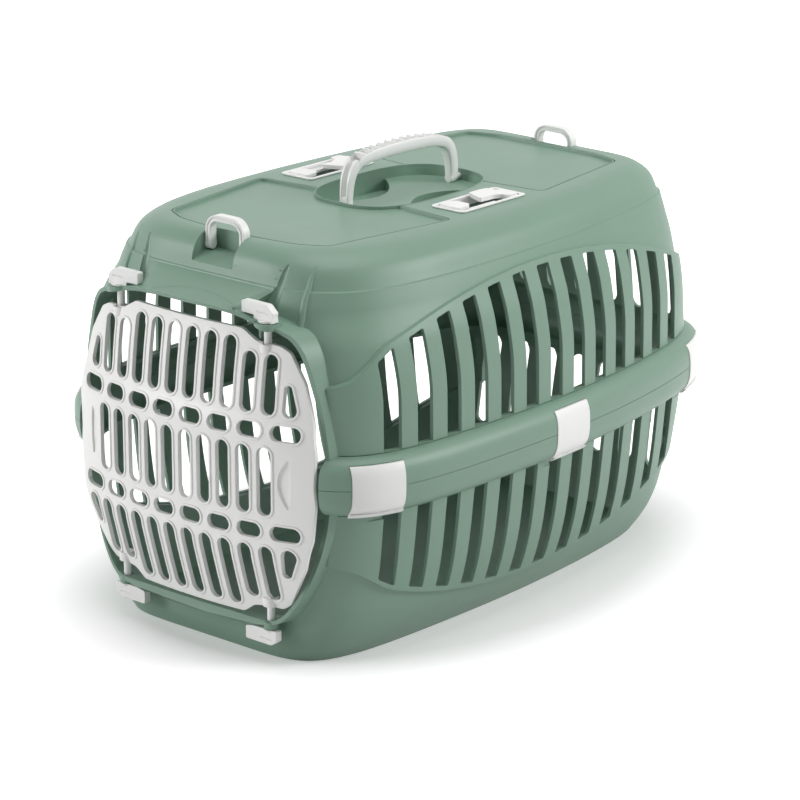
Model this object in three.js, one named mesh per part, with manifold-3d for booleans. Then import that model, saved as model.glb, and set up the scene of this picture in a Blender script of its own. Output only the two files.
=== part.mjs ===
import * as THREE from "three";
import { mergeVertices } from "three/addons/utils/BufferGeometryUtils.js";
import Module from "manifold-3d";

const wasm = await Module();
wasm.setup();

// Two-part plastic pet carrier with a domed door, all sizes in millimetres, +Z up.
// The door looks along -Y, left is -X and right is +X.

// Overall shell
const plasticThickness = 3;
const rimHeight = 146.9;
const roofHeight = 309.5;
const wallHalfWidth = 156.5;
const frontReach = 210;
const rearReach = 246;
const widestAt = -25;
const seamClearance = 0.3;
const fitClearance = 0.3;
const weldDistance = 0.0005;
const shortestEdge = 0.02;
const cutMargin = 20;

// Plan outline of the walls
const ringPoints = 34;
const frontSquareness = 7;
const rearSquareness = 9;
const cornerCrowdingShare = 0.45;
const frontNarrowingShare = 0.055;
const rearNarrowingShare = 0.264;

// Half-round rim band where the two shells meet
const rimHalfHeight = 23;
const rimBulge = 16;
const rimWall = 4.5;
const rimRearReach = 249.5;

// Slotted side panels
const proudHeight = 3.5;
const proudMargin = 4;
const proudFrontY = -204;
const proudRearY = 234;
const sideSlotCount = 13;
const sideSlotPitch = 29.5;
const sideSlotWidth = 14.8;
const sideSlotMiddle = 11;
const upperArchTop = 272.8;
const lowerArchBottom = 34.7;
const archMiddle = 9;
const archReach = 177;
const archFall = 31;
const archDip = 12.5;
const archDipStart = -160;
const archDipEnd = -196;
const slotFoot = 0.5;

// Door frame hood
const hoodLipThickness = 3.2;
const hoodFlareShare = 0.06;
const hoodFront = 231;
const hoodSideSweep = 22;
const hoodHalfWidth = 123.2;
const hoodBack = 184;
const openingBack = 188;
const openingTop = 267;
const openingBottom = 34.5;

// Door grille
const doorHalfWidth = 120.8;
const doorTop = 257.1;
const doorBottom = 37;
const doorStandOff = 8.4;
const doorFace = hoodFront + doorStandOff;
const doorDome = 20.8;
const doorLeanBack = 15;
const doorThickness = 3;
const doorEdgeBand = 29.8;
const doorSlotColumns = 5;
const doorSlotPitch = (doorHalfWidth - doorEdgeBand) / doorSlotColumns;
const doorSlotWidth = 11.6;
const doorEdgeStep = 18;
const upperRow = [197.1, 250.7];
const upperRowNotched = [197.1, 242];
const middleRow = [121.4, 173.8];
const lowerRow = [43.4, 97.8];
const lowerRowNotched = [53.1, 97.8];
const crossRowHeights = [185.5, 109.2];
const crossSlotRib = 7;
const crossSlotOuterRib = 7.5;
const crossSlotOuterLength = 24;
const crossSlotOuterInset = 22.6;
const crossSlotColumns = 3;
const crossSlotOuterCentre = doorHalfWidth - crossSlotOuterInset;
const crossSlotSpan = crossSlotOuterCentre - crossSlotOuterLength / 2 - crossSlotOuterRib + crossSlotRib / 2;
const crossSlotPitch = crossSlotSpan / crossSlotColumns;
const crossSlotLength = crossSlotPitch - crossSlotRib;
const upperEndSlot = { low: [99.3, 203], lowRadius: 5.6, high: [97.3, 218], highRadius: 3.2 };
const lowerEndSlot = { low: [97, 78], lowRadius: 3.8, high: [100.6, 91.6], highRadius: 6 };

// Latch pins and their sockets
const pinX = 75;
const pinSetBack = 13.5;
const pinY = pinSetBack - hoodFront;
const pinRadius = 3.3;
const pinBore = 3.8;
const socketRadius = 6;
const socketLength = 17;
const socketTopInset = 8.7;
const socketBottomInset = 9.8;
const socketTopHeight = doorTop - socketTopInset;
const socketBottomHeight = doorBottom + socketBottomInset;
const pinEngagement = 8.5;
const webHalfWidth = 3.5;
const webInset = 1;
const upperBossRadius = 8.5;
const lowerBossRadius = 5.6;
const upperBossDepth = 4.5;
const upperKnobInset = 2.3;
const lowerKnobInset = 6;
const upperKnobFoot = openingTop - upperKnobInset;
const lowerKnobHead = openingBottom - lowerKnobInset;
const knobGap = 0.5;
const knobHeight = 11.5;
const knobDepth = 6;
const knobInner = 21.4;
const knobOuter = 7;
const knobShoulder = 4;
const upperKnobStep = 4.2;
const knobCorner = 2.4;
const upperKnobSetBack = 5.6;
const lowerKnobSetBack = 3;
const guideRibInset = 7.5;
const guideRibThickness = 2;
const guideRibHeight = 16.4;
const guideRibDepth = 11;
const guideRibX = pinX - guideRibInset;
const guideRibDrop = openingTop - guideRibHeight;
const guideRibFrontY = pinY - knobGap;
const guideRibBackY = guideRibFrontY + guideRibDepth;

// Roof panels
const panelDepth = 2;
const panelFrontEdge = { near: -153, nearHalf: 81, far: -45, farHalf: 97 };
const panelRearEdge = { near: 186, nearHalf: 75, far: 73, farHalf: 93 };

// Handle and its recess
const recessMiddleY = 12.5;
const recessHalfLength = 70;
const recessHalfWidth = 36;
const recessSquareness = 2.8;
const recessPoints = 24;
const plateauDepth = 10;
const wellDepth = 13.5;
const plateauWaist = 13;
const panWall = 3;
const panEndWall = 5;
const handleAxisInset = 5.2;
const handleAxisHeight = roofHeight - handleAxisInset;
const handleFrontInset = 8.5;
const handleRearInset = 9;
const handleFrontY = recessMiddleY - recessHalfLength + handleFrontInset;
const handleRearY = recessMiddleY + recessHalfLength - handleRearInset;
const handleWidth = 14;
const handleThickness = 11.5;
const handleRise = 37;
const handleTop = roofHeight + handleRise;
const handleFootRadius = 4.4;
const handlePinRadius = 2.6;
const handlePinLength = 3.4;
const channelWidth = 9;
const channelDepth = 5;
const channelCells = 11;
const channelInset = 16;
const channelStart = handleFrontY + channelInset;
const channelEnd = handleRearY - channelInset;
const channelRib = 1.8;

// Strap rings and their pockets
const ringFrontInset = 30;
const ringRearInset = 42;
const ringFrontY = ringFrontInset - frontReach;
const ringRearY = rearReach - ringRearInset;
const ringAxisInset = 10.5;
const ringAxisHeight = roofHeight - ringAxisInset;
const ringRise = 24.8;
const ringHalfWidth = 19.5;
const ringBar = 4.6;
const ringDepth = 7;
const ringCorner = 9;
const ringPinRadius = 2.2;
const ringPinLength = 2.4;
const ringEyeRadius = 3.9;
const pocketHalfWidth = 20.4;
const pocketBackOffset = 10;
const pocketDepth = 15.2;
const pocketFloor = roofHeight - pocketDepth;
const pocketFoldOffset = 4;
const pocketMouthOffset = 17;
const pocketMouthDepth = 20.3;
const pocketMouthHeight = roofHeight - pocketMouthDepth;
const pocketWall = 3;

// Belt holders
const holderX = 77.5;
const holderY = 15;
const holderHalfWidth = 16.5;
const holderHalfLength = 38;
const holderCorner = 4;
const holderFlange = 1.2;
const holderSkirt = 6;
const holderRim = 2.2;
const holderWallThickness = 1.8;
const hookThickness = 2;

// Rim clips
const clipWidth = 38;
const clipFrontInset = 26.5;
const clipRearInset = 27.5;
const clipFrontY = clipFrontInset - frontReach;
const clipMiddleY = 20;
const clipRearY = rimRearReach - clipRearInset;
const clipSink = 1.8;
const clipPlate = 2.4;
const clipTopReach = 17.6;
const clipBottomReach = 22.4;
const clipWrap = 12.8;
const clipLipHeight = 3.2;
const clipLipReach = 1.6;

const TURN = Math.PI * 2;

// Solids

function signedVolume(positions, triangles) {
  let sum = 0;
  const corner = (i) => new THREE.Vector3().fromArray(positions, triangles[i] * 3);
  for (let i = 0; i < triangles.length; i += 3) {
    sum += corner(i).dot(corner(i + 1).cross(corner(i + 2)));
  }
  return sum;
}

function solid(geometry) {
  const bare = new THREE.BufferGeometry();
  bare.setAttribute("position", geometry.getAttribute("position").clone());
  if (geometry.index) {
    bare.setIndex(geometry.index.clone());
  }
  const welded = mergeVertices(bare, weldDistance);
  const positions = Float32Array.from(welded.getAttribute("position").array);
  const triangles = Uint32Array.from(welded.index.array);
  if (signedVolume(positions, triangles) < 0) {
    for (let i = 0; i < triangles.length; i += 3) {
      const kept = triangles[i + 1];
      triangles[i + 1] = triangles[i + 2];
      triangles[i + 2] = kept;
    }
  }
  return new wasm.Manifold(new wasm.Mesh({ numProp: 3, vertProperties: positions, triVerts: triangles }));
}

function join(pieces) {
  return pieces.reduce((sum, piece) => sum.add(piece));
}

// A skin over matching rings of points, closed at both ends.
// The ends are filled flat, seen along the given direction.
function loft(rings, flatten) {
  const count = rings[0].length;
  const positions = rings.flat().flatMap((p) => [p.x, p.y, p.z]);
  const triangles = [];
  for (let r = 0; r + 1 < rings.length; r++) {
    for (let i = 0; i < count; i++) {
      const next = (i + 1) % count;
      const a = r * count + i;
      const b = r * count + next;
      triangles.push(a, b, b + count, a, b + count, a + count);
    }
  }
  const fillEnd = (ring, first, towardsStart) => {
    const outline = ring.map(flatten);
    const asListed = THREE.ShapeUtils.isClockWise(outline) === towardsStart;
    for (const [a, b, c] of THREE.ShapeUtils.triangulateShape(outline, [])) {
      triangles.push(first + a, first + (asListed ? b : c), first + (asListed ? c : b));
    }
  };
  fillEnd(rings[0], 0, true);
  fillEnd(rings[rings.length - 1], (rings.length - 1) * count, false);
  const geometry = new THREE.BufferGeometry();
  geometry.setAttribute("position", new THREE.Float32BufferAttribute(positions, 3));
  geometry.setIndex(triangles);
  return solid(geometry);
}

const alongZ = (p) => new THREE.Vector2(p.x, p.y);
const alongY = (p) => new THREE.Vector2(p.x, p.z);
const alongX = (p) => new THREE.Vector2(p.y, p.z);

function prismZ(outline, low, high) {
  return loft([low, high].map((z) => outline.map(([x, y]) => new THREE.Vector3(x, y, z))), alongZ);
}

function prismY(outline, near, far) {
  return loft([near, far].map((y) => outline.map(([x, z]) => new THREE.Vector3(x, y, z))), alongY);
}

function prismX(outline, left, right) {
  return loft([left, right].map((x) => outline.map(([y, z]) => new THREE.Vector3(x, y, z))), alongX);
}

function block(x, y, z) {
  return prismZ([[x[0], y[0]], [x[1], y[0]], [x[1], y[1]], [x[0], y[1]]], z[0], z[1]);
}

function circle(centreA, centreB, radius, count = 16) {
  return Array.from({ length: count }, (_, i) => [
    centreA + radius * Math.cos(TURN * i / count),
    centreB + radius * Math.sin(TURN * i / count),
  ]);
}

function rod(from, to, radius, count = 16) {
  const axis = to.clone().sub(from);
  const side = new THREE.Vector3(0, 0, 1).cross(axis);
  if (side.lengthSq() < axis.lengthSq() * Number.EPSILON) {
    side.set(1, 0, 0);
  }
  side.normalize();
  const up = axis.clone().cross(side).normalize();
  const ring = (centre) => circle(0, 0, radius, count).map(([a, b]) =>
    centre.clone().addScaledVector(side, a).addScaledVector(up, b));
  return loft([ring(from), ring(to)], (p) => new THREE.Vector2(p.dot(side), p.dot(up)));
}

function roundedBox(halfA, halfB, radius, cornerSteps = 2) {
  const outline = [];
  const corners = [[1, 1, 0], [-1, 1, 1], [-1, -1, 2], [1, -1, 3]];
  for (const [signA, signB, quarter] of corners) {
    for (let i = 0; i <= cornerSteps; i++) {
      const angle = (quarter + i / cornerSteps) * TURN / 4;
      outline.push([
        signA * (halfA - radius) + radius * Math.cos(angle),
        signB * (halfB - radius) + radius * Math.sin(angle),
      ]);
    }
  }
  return outline;
}

function moved(outline, a, b) {
  return outline.map(([p, q]) => [p + a, q + b]);
}

function offsetOutline(points, distance) {
  const count = points.length;
  let area = 0;
  points.forEach((p, i) => {
    const q = points[(i + 1) % count];
    area += p[0] * q[1] - q[0] * p[1];
  });
  const sign = Math.sign(area);
  return points.map((p, i) => {
    const before = points[(i + count - 1) % count];
    const after = points[(i + 1) % count];
    const inA = Math.hypot(p[0] - before[0], p[1] - before[1]);
    const outA = Math.hypot(after[0] - p[0], after[1] - p[1]);
    const normalIn = [(p[1] - before[1]) / inA, (before[0] - p[0]) / inA];
    const normalOut = [(after[1] - p[1]) / outA, (p[0] - after[0]) / outA];
    const sum = [normalIn[0] + normalOut[0], normalIn[1] + normalOut[1]];
    const stretch = 2 / (sum[0] * sum[0] + sum[1] * sum[1]);
    return [p[0] + sign * distance * sum[0] * stretch, p[1] + sign * distance * sum[1] * stretch];
  });
}

function lookUp(table, at, column = 1) {
  let i = 0;
  while (i + 2 < table.length && at > table[i + 1][0]) {
    i += 1;
  }
  const [low, high] = [table[i], table[i + 1]];
  const share = THREE.MathUtils.clamp((at - low[0]) / (high[0] - low[0]), 0, 1);
  return THREE.MathUtils.lerp(low[column], high[column], share);
}

function mirrorX(outline) {
  return outline.map(([x, v]) => [-x, v]);
}

// Shell form

function narrowing(y) {
  const toFront = (widestAt - y) / (widestAt + frontReach);
  const toRear = (y - widestAt) / (rearReach - widestAt);
  return y < widestAt
    ? 1 - frontNarrowingShare * toFront * toFront
    : 1 - rearNarrowingShare * toRear * toRear;
}

// One level of the wall seen from above, as a soft-cornered box that tapers to the rear.
function planRing(halfWidth, front, rear, outward = 0, frontCornerShare = 1) {
  const middle = (rear - front) / 2;
  const half = (rear + front) / 2;
  const outline = [];
  for (let i = 0; i < ringPoints; i++) {
    const turn = TURN * i / ringPoints;
    const angle = turn + cornerCrowdingShare * Math.sin(4 * turn) / 4;
    const c = Math.cos(angle);
    const s = Math.sin(angle);
    const power = s < 0 ? frontSquareness * frontCornerShare : rearSquareness;
    const reach = (Math.abs(c) ** power + Math.abs(s) ** power) ** (-1 / power);
    const y = middle + half * reach * s;
    outline.push([halfWidth * reach * c * narrowing(y), y]);
  }
  return outward === 0 ? outline : offsetOutline(outline, outward);
}

// Each row holds the height, side, front and rear as shares of the full size,
// and the squareness of the front corners as a share of the full squareness.
const canopyWallShares = [
  [rimHalfHeight / (roofHeight - rimHeight), 1, 1, 1, 1],
  [0.36, 0.997, 0.997, 0.983, 1],
  [0.6, 0.959, 0.988, 0.958, 0.88],
  [0.763, 0.903, 0.972, 0.938, 0.68],
  [0.862, 0.863, 0.943, 0.921, 0.7],
  [0.874, 0.848, 0.935, 0.913, 0.7],
  [0.93, 0.812, 0.902, 0.889, 0.87],
  [0.975, 0.748, 0.852, 0.85, 1],
  [1, 0.66, 0.785, 0.805, 1],
];
const tubWallShares = [
  [0, 0.725, 0.975, 0.9, 1],
  [0.082, 0.796, 0.993, 0.912, 1],
  [0.163, 0.853, 0.996, 0.92, 1],
  [0.29, 0.911, 0.999, 0.932, 1],
  [0.52, 0.964, 1, 0.949, 1],
  [1 - rimHalfHeight / rimHeight, 1, 1, 0.985, 1],
];
// Height and bulge along the rim band, from the seam to the wall
const rimShares = [[0, 1], [0.4, 0.97], [0.7, 0.81], [0.92, 0.46], [1, 0]];

function wallRing([, side, front, rear, frontCorner], grow) {
  return planRing(wallHalfWidth * side, frontReach * front, rearReach * rear, grow, frontCorner);
}

function level(outline, z) {
  return outline.map(([x, y]) => new THREE.Vector3(x, y, z));
}

function rimRings(direction, bulge, halfHeight, inset, seam) {
  return rimShares.map(([rise, swell], i) => {
    const height = i === 0 ? seam : halfHeight * rise;
    const outline = planRing(wallHalfWidth, frontReach, rimRearReach, bulge * swell - inset);
    return level(outline, rimHeight + direction * height);
  });
}

function canopyBody(grow, seam) {
  const inset = Math.max(0, -grow);
  const rimGrow = inset > 0 ? rimWall : 0;
  const rings = inset > 0
    ? rimRings(1, rimBulge - rimGrow + inset, rimHalfHeight - inset, inset, seam)
    : rimRings(1, rimBulge, rimHalfHeight, 0, seam);
  for (const row of canopyWallShares.slice(1)) {
    rings.push(level(wallRing(row, grow), rimHeight + (roofHeight - rimHeight) * row[0] - inset));
  }
  return loft(rings, alongZ);
}

function tubBody(grow, seam) {
  const inset = Math.max(0, -grow);
  const rimGrow = inset > 0 ? rimWall : 0;
  const rings = inset > 0
    ? rimRings(-1, rimBulge - rimGrow + inset, rimHalfHeight - inset, inset, seam)
    : rimRings(-1, rimBulge, rimHalfHeight, 0, seam);
  for (const row of tubWallShares.slice(0, -1).reverse()) {
    rings.push(level(wallRing(row, grow), inset + (rimHeight - inset) * row[0]));
  }
  return loft(rings.reverse(), alongZ);
}

// The wall alone, without the rim band, grown outward for the proud slotted panels.
function proudBody(shares, low, high, grow) {
  return loft(shares.map((row) => level(wallRing(row, grow), low + (high - low) * row[0])), alongZ);
}

// Arched edge lines of the slotted panels

function archShare(y) {
  const share = (y - archMiddle) / archReach;
  return share * share;
}

// The upper line dips towards the hood, where it meets the door frame.
function upperArch(y) {
  const dip = THREE.MathUtils.smoothstep(-y, -archDipStart, -archDipEnd);
  return upperArchTop - archFall * archShare(y) - archDip * dip;
}

function lowerArch(y) {
  return lowerArchBottom + archFall * archShare(y);
}

// Side outline of a slotted panel, from its arched edge to its foot at the rim band.
function archedPanel(arch, rise, foot, endInset) {
  const steps = 9;
  const [front, rear] = [proudFrontY + endInset, proudRearY - endInset];
  const outline = [];
  for (let i = 0; i <= steps; i++) {
    const y = THREE.MathUtils.lerp(front, rear, i / steps);
    outline.push([y, arch(y) + rise]);
  }
  outline.push([rear, foot], [front, foot]);
  return prismX(outline, -wallHalfWidth - cutMargin, wallHalfWidth + cutMargin);
}

// The proud panel and, one wall thickness inside it, the hollow behind it.
function sidePanel(shares, low, high, arch, towardsArch) {
  const foot = rimHeight + towardsArch * rimHalfHeight;
  const skin = proudBody(shares, low, high, proudHeight)
    .intersect(archedPanel(arch, towardsArch * proudMargin, foot - towardsArch * rimHalfHeight / 2, 0));
  const hollow = proudBody(shares, low, high, proudHeight - plasticThickness)
    .intersect(archedPanel(arch, towardsArch * (proudMargin - plasticThickness), foot, plasticThickness * 2));
  return { skin, hollow };
}

function sideSlots(arch, foot) {
  const cutters = [];
  const half = sideSlotWidth / 2;
  const soften = half / 3;
  const away = Math.sign(arch(archMiddle) - foot);
  for (let i = 0; i < sideSlotCount; i++) {
    const y = sideSlotMiddle + sideSlotPitch * (i - (sideSlotCount - 1) / 2);
    const outline = [
      [y - half, foot],
      [y + half, foot],
      [y + half, arch(y + half) - away * soften],
      [y + half - soften, arch(y + half - soften)],
      [y - half + soften, arch(y - half + soften)],
      [y - half, arch(y - half) - away * soften],
    ];
    cutters.push(prismX(outline, wallHalfWidth / 2, wallHalfWidth + cutMargin));
    cutters.push(prismX(outline, -wallHalfWidth - cutMargin, -wallHalfWidth / 2));
  }
  return join(cutters);
}

// Door opening and hood

// Right half of the opening, top to bottom: half-width and height as shares.
const openingShares = [
  [0, 0.989], [0.32, 1], [0.423, 0.995], [0.529, 0.978], [0.666, 0.961], [0.758, 0.951],
  [0.807, 0.935], [0.86, 0.894], [0.905, 0.818], [0.956, 0.723], [0.989, 0.611], [1, 0.54],
  [1, 0.45], [0.987, 0.37], [0.968, 0.31], [0.93, 0.231], [0.852, 0.135], [0.79, 0.077],
  [0.71, 0.024], [0.625, 0.001], [0.31, 0.001], [0, 0],
];

function openingOutline() {
  const right = openingShares.map(([side, rise]) => [
    hoodHalfWidth * side,
    openingBottom + (openingTop - openingBottom) * rise,
  ]);
  return [...right, ...mirrorX(right.slice(1, -1)).reverse()];
}

function hoodEdgeY(x) {
  const share = x / hoodHalfWidth;
  return -hoodFront + hoodSideSweep * share * share;
}

// The hood flares sideways from its lip to the front wall.
function hoodPlug() {
  const lip = offsetOutline(openingOutline(), hoodLipThickness);
  const front = lip.map(([x, z]) => new THREE.Vector3(x, hoodEdgeY(x), z));
  const rear = lip.map(([x, z]) => new THREE.Vector3(x * (1 + hoodFlareShare), -hoodBack, z));
  return loft([front, rear], alongY);
}

function openingCut() {
  return prismY(openingOutline(), -hoodFront - cutMargin, -openingBack);
}

function half(keepUpper) {
  const size = roofHeight * 2;
  const seam = rimHeight + (keepUpper ? seamClearance / 2 : -seamClearance / 2);
  return keepUpper
    ? block([-size, size], [-size, size], [seam, size])
    : block([-size, size], [-size, size], [-size, seam]);
}

// Rim clips follow the rim band, three on each side.

function rimCurve() {
  return planRing(wallHalfWidth, frontReach, rimRearReach, rimBulge);
}

function clipFrame(y, side) {
  const curve = rimCurve().filter(([x]) => x > 0).sort((a, b) => a[1] - b[1]);
  const i = Math.max(1, curve.findIndex((p) => p[1] > y));
  const [before, after] = [curve[i - 1], curve[i]];
  const share = (y - before[1]) / (after[1] - before[1]);
  const along = new THREE.Vector3(after[0] - before[0], after[1] - before[1], 0).normalize();
  const origin = new THREE.Vector3(THREE.MathUtils.lerp(before[0], after[0], share), y, rimHeight);
  const out = new THREE.Vector3(along.y, -along.x, 0);
  for (const v of [origin, along, out]) {
    v.x *= side;
  }
  return { origin, along, out };
}

function rimBand(outward, tall) {
  const bulge = rimBulge + outward;
  const lower = rimRings(-1, bulge, tall, 0, 0).reverse();
  const upper = rimRings(1, bulge, tall, 0, 0).slice(1);
  return loft([...lower, ...upper], alongZ);
}

function clipBox({ origin, along, out }, halfWidth, inward, outward, low, high) {
  const corner = (a, b) => origin.clone().addScaledVector(along, a).addScaledVector(out, b);
  const flat = [
    corner(-halfWidth, -inward), corner(halfWidth, -inward),
    corner(halfWidth, outward), corner(-halfWidth, outward),
  ];
  return prismZ(flat.map((p) => [p.x, p.y]), rimHeight + low, rimHeight + high);
}

// A push-fit plate that wraps the band, with a finger lip along its lower edge.
function clipSolid(frame) {
  const half = clipWidth / 2;
  const outward = clipPlate - clipSink;
  const core = rimBand(-clipSink, rimHalfHeight - clipSink);
  const plate = rimBand(outward, rimHalfHeight + outward)
    .subtract(core)
    .intersect(clipBox(frame, half, clipWrap, cutMargin, -clipBottomReach, clipTopReach));
  const lip = rimBand(outward + clipLipReach, rimHalfHeight + outward + clipLipReach)
    .subtract(core)
    .intersect(clipBox(frame, half, clipWrap, cutMargin, -clipBottomReach, clipLipHeight - clipBottomReach));
  return plate.add(lip);
}

function clipSeat(frame) {
  const sunk = clipSink + fitClearance;
  return rimBand(cutMargin, rimHalfHeight + cutMargin)
    .subtract(rimBand(-sunk, rimHalfHeight - sunk))
    .intersect(clipBox(frame, clipWidth / 2 + fitClearance, clipWrap + fitClearance, cutMargin,
      -rimHalfHeight - cutMargin / 4, clipTopReach + fitClearance));
}

const clipStations = [
  ["front", clipFrontY],
  ["middle", clipMiddleY],
  ["rear", clipRearY],
];
const clipFrames = clipStations.flatMap(([place, y]) => [
  { name: `rim_clip_${place}_left`, ...clipFrame(y, -1) },
  { name: `rim_clip_${place}_right`, ...clipFrame(y, 1) },
]);

// Tub

function bottomTub() {
  const panel = sidePanel(tubWallShares, 0, rimHeight, lowerArch, -1);
  const outer = join([
    tubBody(0, seamClearance / 2),
    panel.skin,
    hoodPlug().intersect(half(false)),
    ...[-pinX, pinX].map((x) =>
      prismZ(circle(x, pinY, lowerBossRadius, 14), lowerKnobHead + knobGap, openingBottom)),
  ]);
  const holes = [-pinX, pinX].map((x) =>
    prismZ(circle(x, pinY, pinBore, 12), lowerKnobHead - cutMargin, openingBottom + cutMargin));
  return outer
    .subtract(tubBody(-plasticThickness, -cutMargin / 4))
    .subtract(panel.hollow)
    .subtract(openingCut())
    .subtract(join(holes))
    .subtract(sideSlots(lowerArch, rimHeight - rimHalfHeight - slotFoot))
    .subtract(join(clipFrames.map(clipSeat)));
}

// Canopy

function roofPanel({ near, nearHalf, far, farHalf }) {
  return [[-nearHalf, near], [nearHalf, near], [farHalf, far], [-farHalf, far]];
}

function recessOutline(grow, growEnds = grow) {
  return Array.from({ length: recessPoints }, (_, i) => {
    const angle = TURN * i / recessPoints;
    const c = Math.cos(angle);
    const s = Math.sin(angle);
    const power = 2 / recessSquareness;
    return [
      (recessHalfWidth + grow) * Math.sign(c) * Math.abs(c) ** power,
      recessMiddleY + (recessHalfLength + growEnds) * Math.sign(s) * Math.abs(s) ** power,
    ];
  });
}

function handleRecess() {
  const rim = recessOutline(0);
  const floor = roofHeight - plateauDepth;
  const upper = prismZ(rim, floor, roofHeight + cutMargin);
  const wells = [-1, 1].map((side) => {
    const inner = Array.from({ length: 9 }, (_, i) => {
      const share = i / 4 - 1;
      return [
        side * (plateauWaist + (recessHalfWidth - plateauWaist) * share * share),
        recessMiddleY + recessHalfLength * 0.72 * share,
      ];
    });
    const edge = [[side * recessHalfWidth * 2, recessMiddleY + recessHalfLength],
      [side * recessHalfWidth * 2, recessMiddleY - recessHalfLength]];
    return prismZ([...inner, ...edge], roofHeight - wellDepth, floor + panWall)
      .intersect(prismZ(rim, roofHeight - wellDepth, floor + panWall));
  });
  return join([upper, ...wells]);
}

function handleSockets() {
  return [
    rod(new THREE.Vector3(0, handleFrontY, handleAxisHeight),
      new THREE.Vector3(0, recessMiddleY - recessHalfLength - handlePinLength - fitClearance,
        handleAxisHeight), handlePinRadius + fitClearance, 12),
    rod(new THREE.Vector3(0, handleRearY, handleAxisHeight),
      new THREE.Vector3(0, recessMiddleY + recessHalfLength + handlePinLength + fitClearance,
        handleAxisHeight), handlePinRadius + fitClearance, 12),
  ];
}

function pocketProfile(ringY, facing, sink) {
  const y = (offset) => ringY + facing * offset;
  return [
    [y(-pocketBackOffset - sink), roofHeight + cutMargin],
    [y(-pocketBackOffset - sink), pocketFloor - sink],
    [y(pocketFoldOffset), pocketFloor - sink],
    [y(pocketMouthOffset), pocketMouthHeight - sink],
    [y(pocketMouthOffset + cutMargin), pocketMouthHeight - sink],
    [y(pocketMouthOffset + cutMargin), roofHeight + cutMargin],
  ];
}

function ringPocket(ringY, facing) {
  return prismX(pocketProfile(ringY, facing, 0), -pocketHalfWidth, pocketHalfWidth);
}

function ringPocketPan(ringY, facing) {
  const reach = pocketHalfWidth + pocketWall;
  return prismX(pocketProfile(ringY, facing, pocketWall), -reach, reach);
}

function ringSockets(ringY) {
  const reach = pocketHalfWidth + ringPinLength + fitClearance;
  return rod(new THREE.Vector3(-reach, ringY, ringAxisHeight),
    new THREE.Vector3(reach, ringY, ringAxisHeight), ringPinRadius + fitClearance, 12);
}

const holderFrames = [
  { name: "belt_holder_left", side: -1 },
  { name: "belt_holder_right", side: 1 },
];

function holderOutline(side, grow) {
  const outline = roundedBox(holderHalfWidth + grow, holderHalfLength + grow, holderCorner);
  return moved(outline, side * holderX, holderY);
}

function topCanopy() {
  const shell = canopyBody(0, seamClearance / 2);
  const panel = sidePanel(canopyWallShares, rimHeight, roofHeight, upperArch, 1);
  const outer = join([
    shell,
    panel.skin,
    hoodPlug().intersect(half(true)),
    ...[-pinX, pinX].map((x) => prismZ(circle(x, pinY, upperBossRadius, 14),
      upperKnobFoot - knobGap - upperBossDepth, upperKnobFoot - knobGap)),
  ]);
  const inside = join([
    prismZ(recessOutline(panWall, panEndWall), roofHeight - wellDepth - panWall, roofHeight),
    ringPocketPan(ringFrontY, -1),
    ringPocketPan(ringRearY, 1),
    ...[-guideRibX, guideRibX].map((x) => block(
      [x - guideRibThickness / 2, x + guideRibThickness / 2],
      [guideRibFrontY, guideRibBackY], [guideRibDrop, openingTop])),
  ]).intersect(shell.add(hoodPlug()));
  const cuts = join([
    prismZ(roofPanel(panelFrontEdge), roofHeight - panelDepth, roofHeight + cutMargin),
    prismZ(roofPanel(panelRearEdge), roofHeight - panelDepth, roofHeight + cutMargin),
    handleRecess(),
    ...handleSockets(),
    ringPocket(ringFrontY, -1),
    ringPocket(ringRearY, 1),
    ringSockets(ringFrontY),
    ringSockets(ringRearY),
    ...holderFrames.map(({ side }) => prismZ(holderOutline(side, fitClearance - holderRim),
      roofHeight - cutMargin / 2, roofHeight + cutMargin)),
    ...[-pinX, pinX].map((x) =>
      prismZ(circle(x, pinY, pinBore, 12), openingTop - cutMargin, openingTop + cutMargin)),
    ...clipFrames.map(clipSeat),
    sideSlots(upperArch, rimHeight + rimHalfHeight + slotFoot),
  ]);
  return outer
    .subtract(canopyBody(-plasticThickness, -cutMargin / 4))
    .subtract(panel.hollow)
    .subtract(openingCut())
    .add(inside)
    .subtract(cuts);
}

// Door

// Lean of the face behind its foremost line, by height share
const doorLeanShares = [
  [0, 0.97], [0.045, 0.85], [0.075, 0.72], [0.17, 0.33], [0.25, 0.05], [0.28, 0],
  [0.62, 0], [0.675, 0.08], [0.73, 0.28], [0.84, 0.48], [0.93, 0.68], [1, 0.86],
];
const domeSquareShare = 0.67;

function doorFaceY(x, z) {
  const across = (x / doorHalfWidth) ** 2;
  const dome = doorDome * (domeSquareShare * across + (1 - domeSquareShare) * across * across);
  const share = (z - doorBottom) / (doorTop - doorBottom);
  return -doorFace + dome + doorLeanBack * lookUp(doorLeanShares, share);
}

// Right half of the door, top to bottom: half-width and height as shares.
const doorOutlineShares = [
  [0.447, 1], [0.497, 0.985], [0.563, 0.965], [0.728, 0.96], [0.795, 0.942], [0.9, 0.848],
  [0.973, 0.71], [1, 0.612], [0.992, 0.565], [0.987, 0.5], [0.997, 0.44], [0.977, 0.313],
  [0.92, 0.207], [0.78, 0.064], [0.722, 0.042], [0.604, 0.044], [0.509, 0.036], [0.43, 0.004],
];

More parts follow.
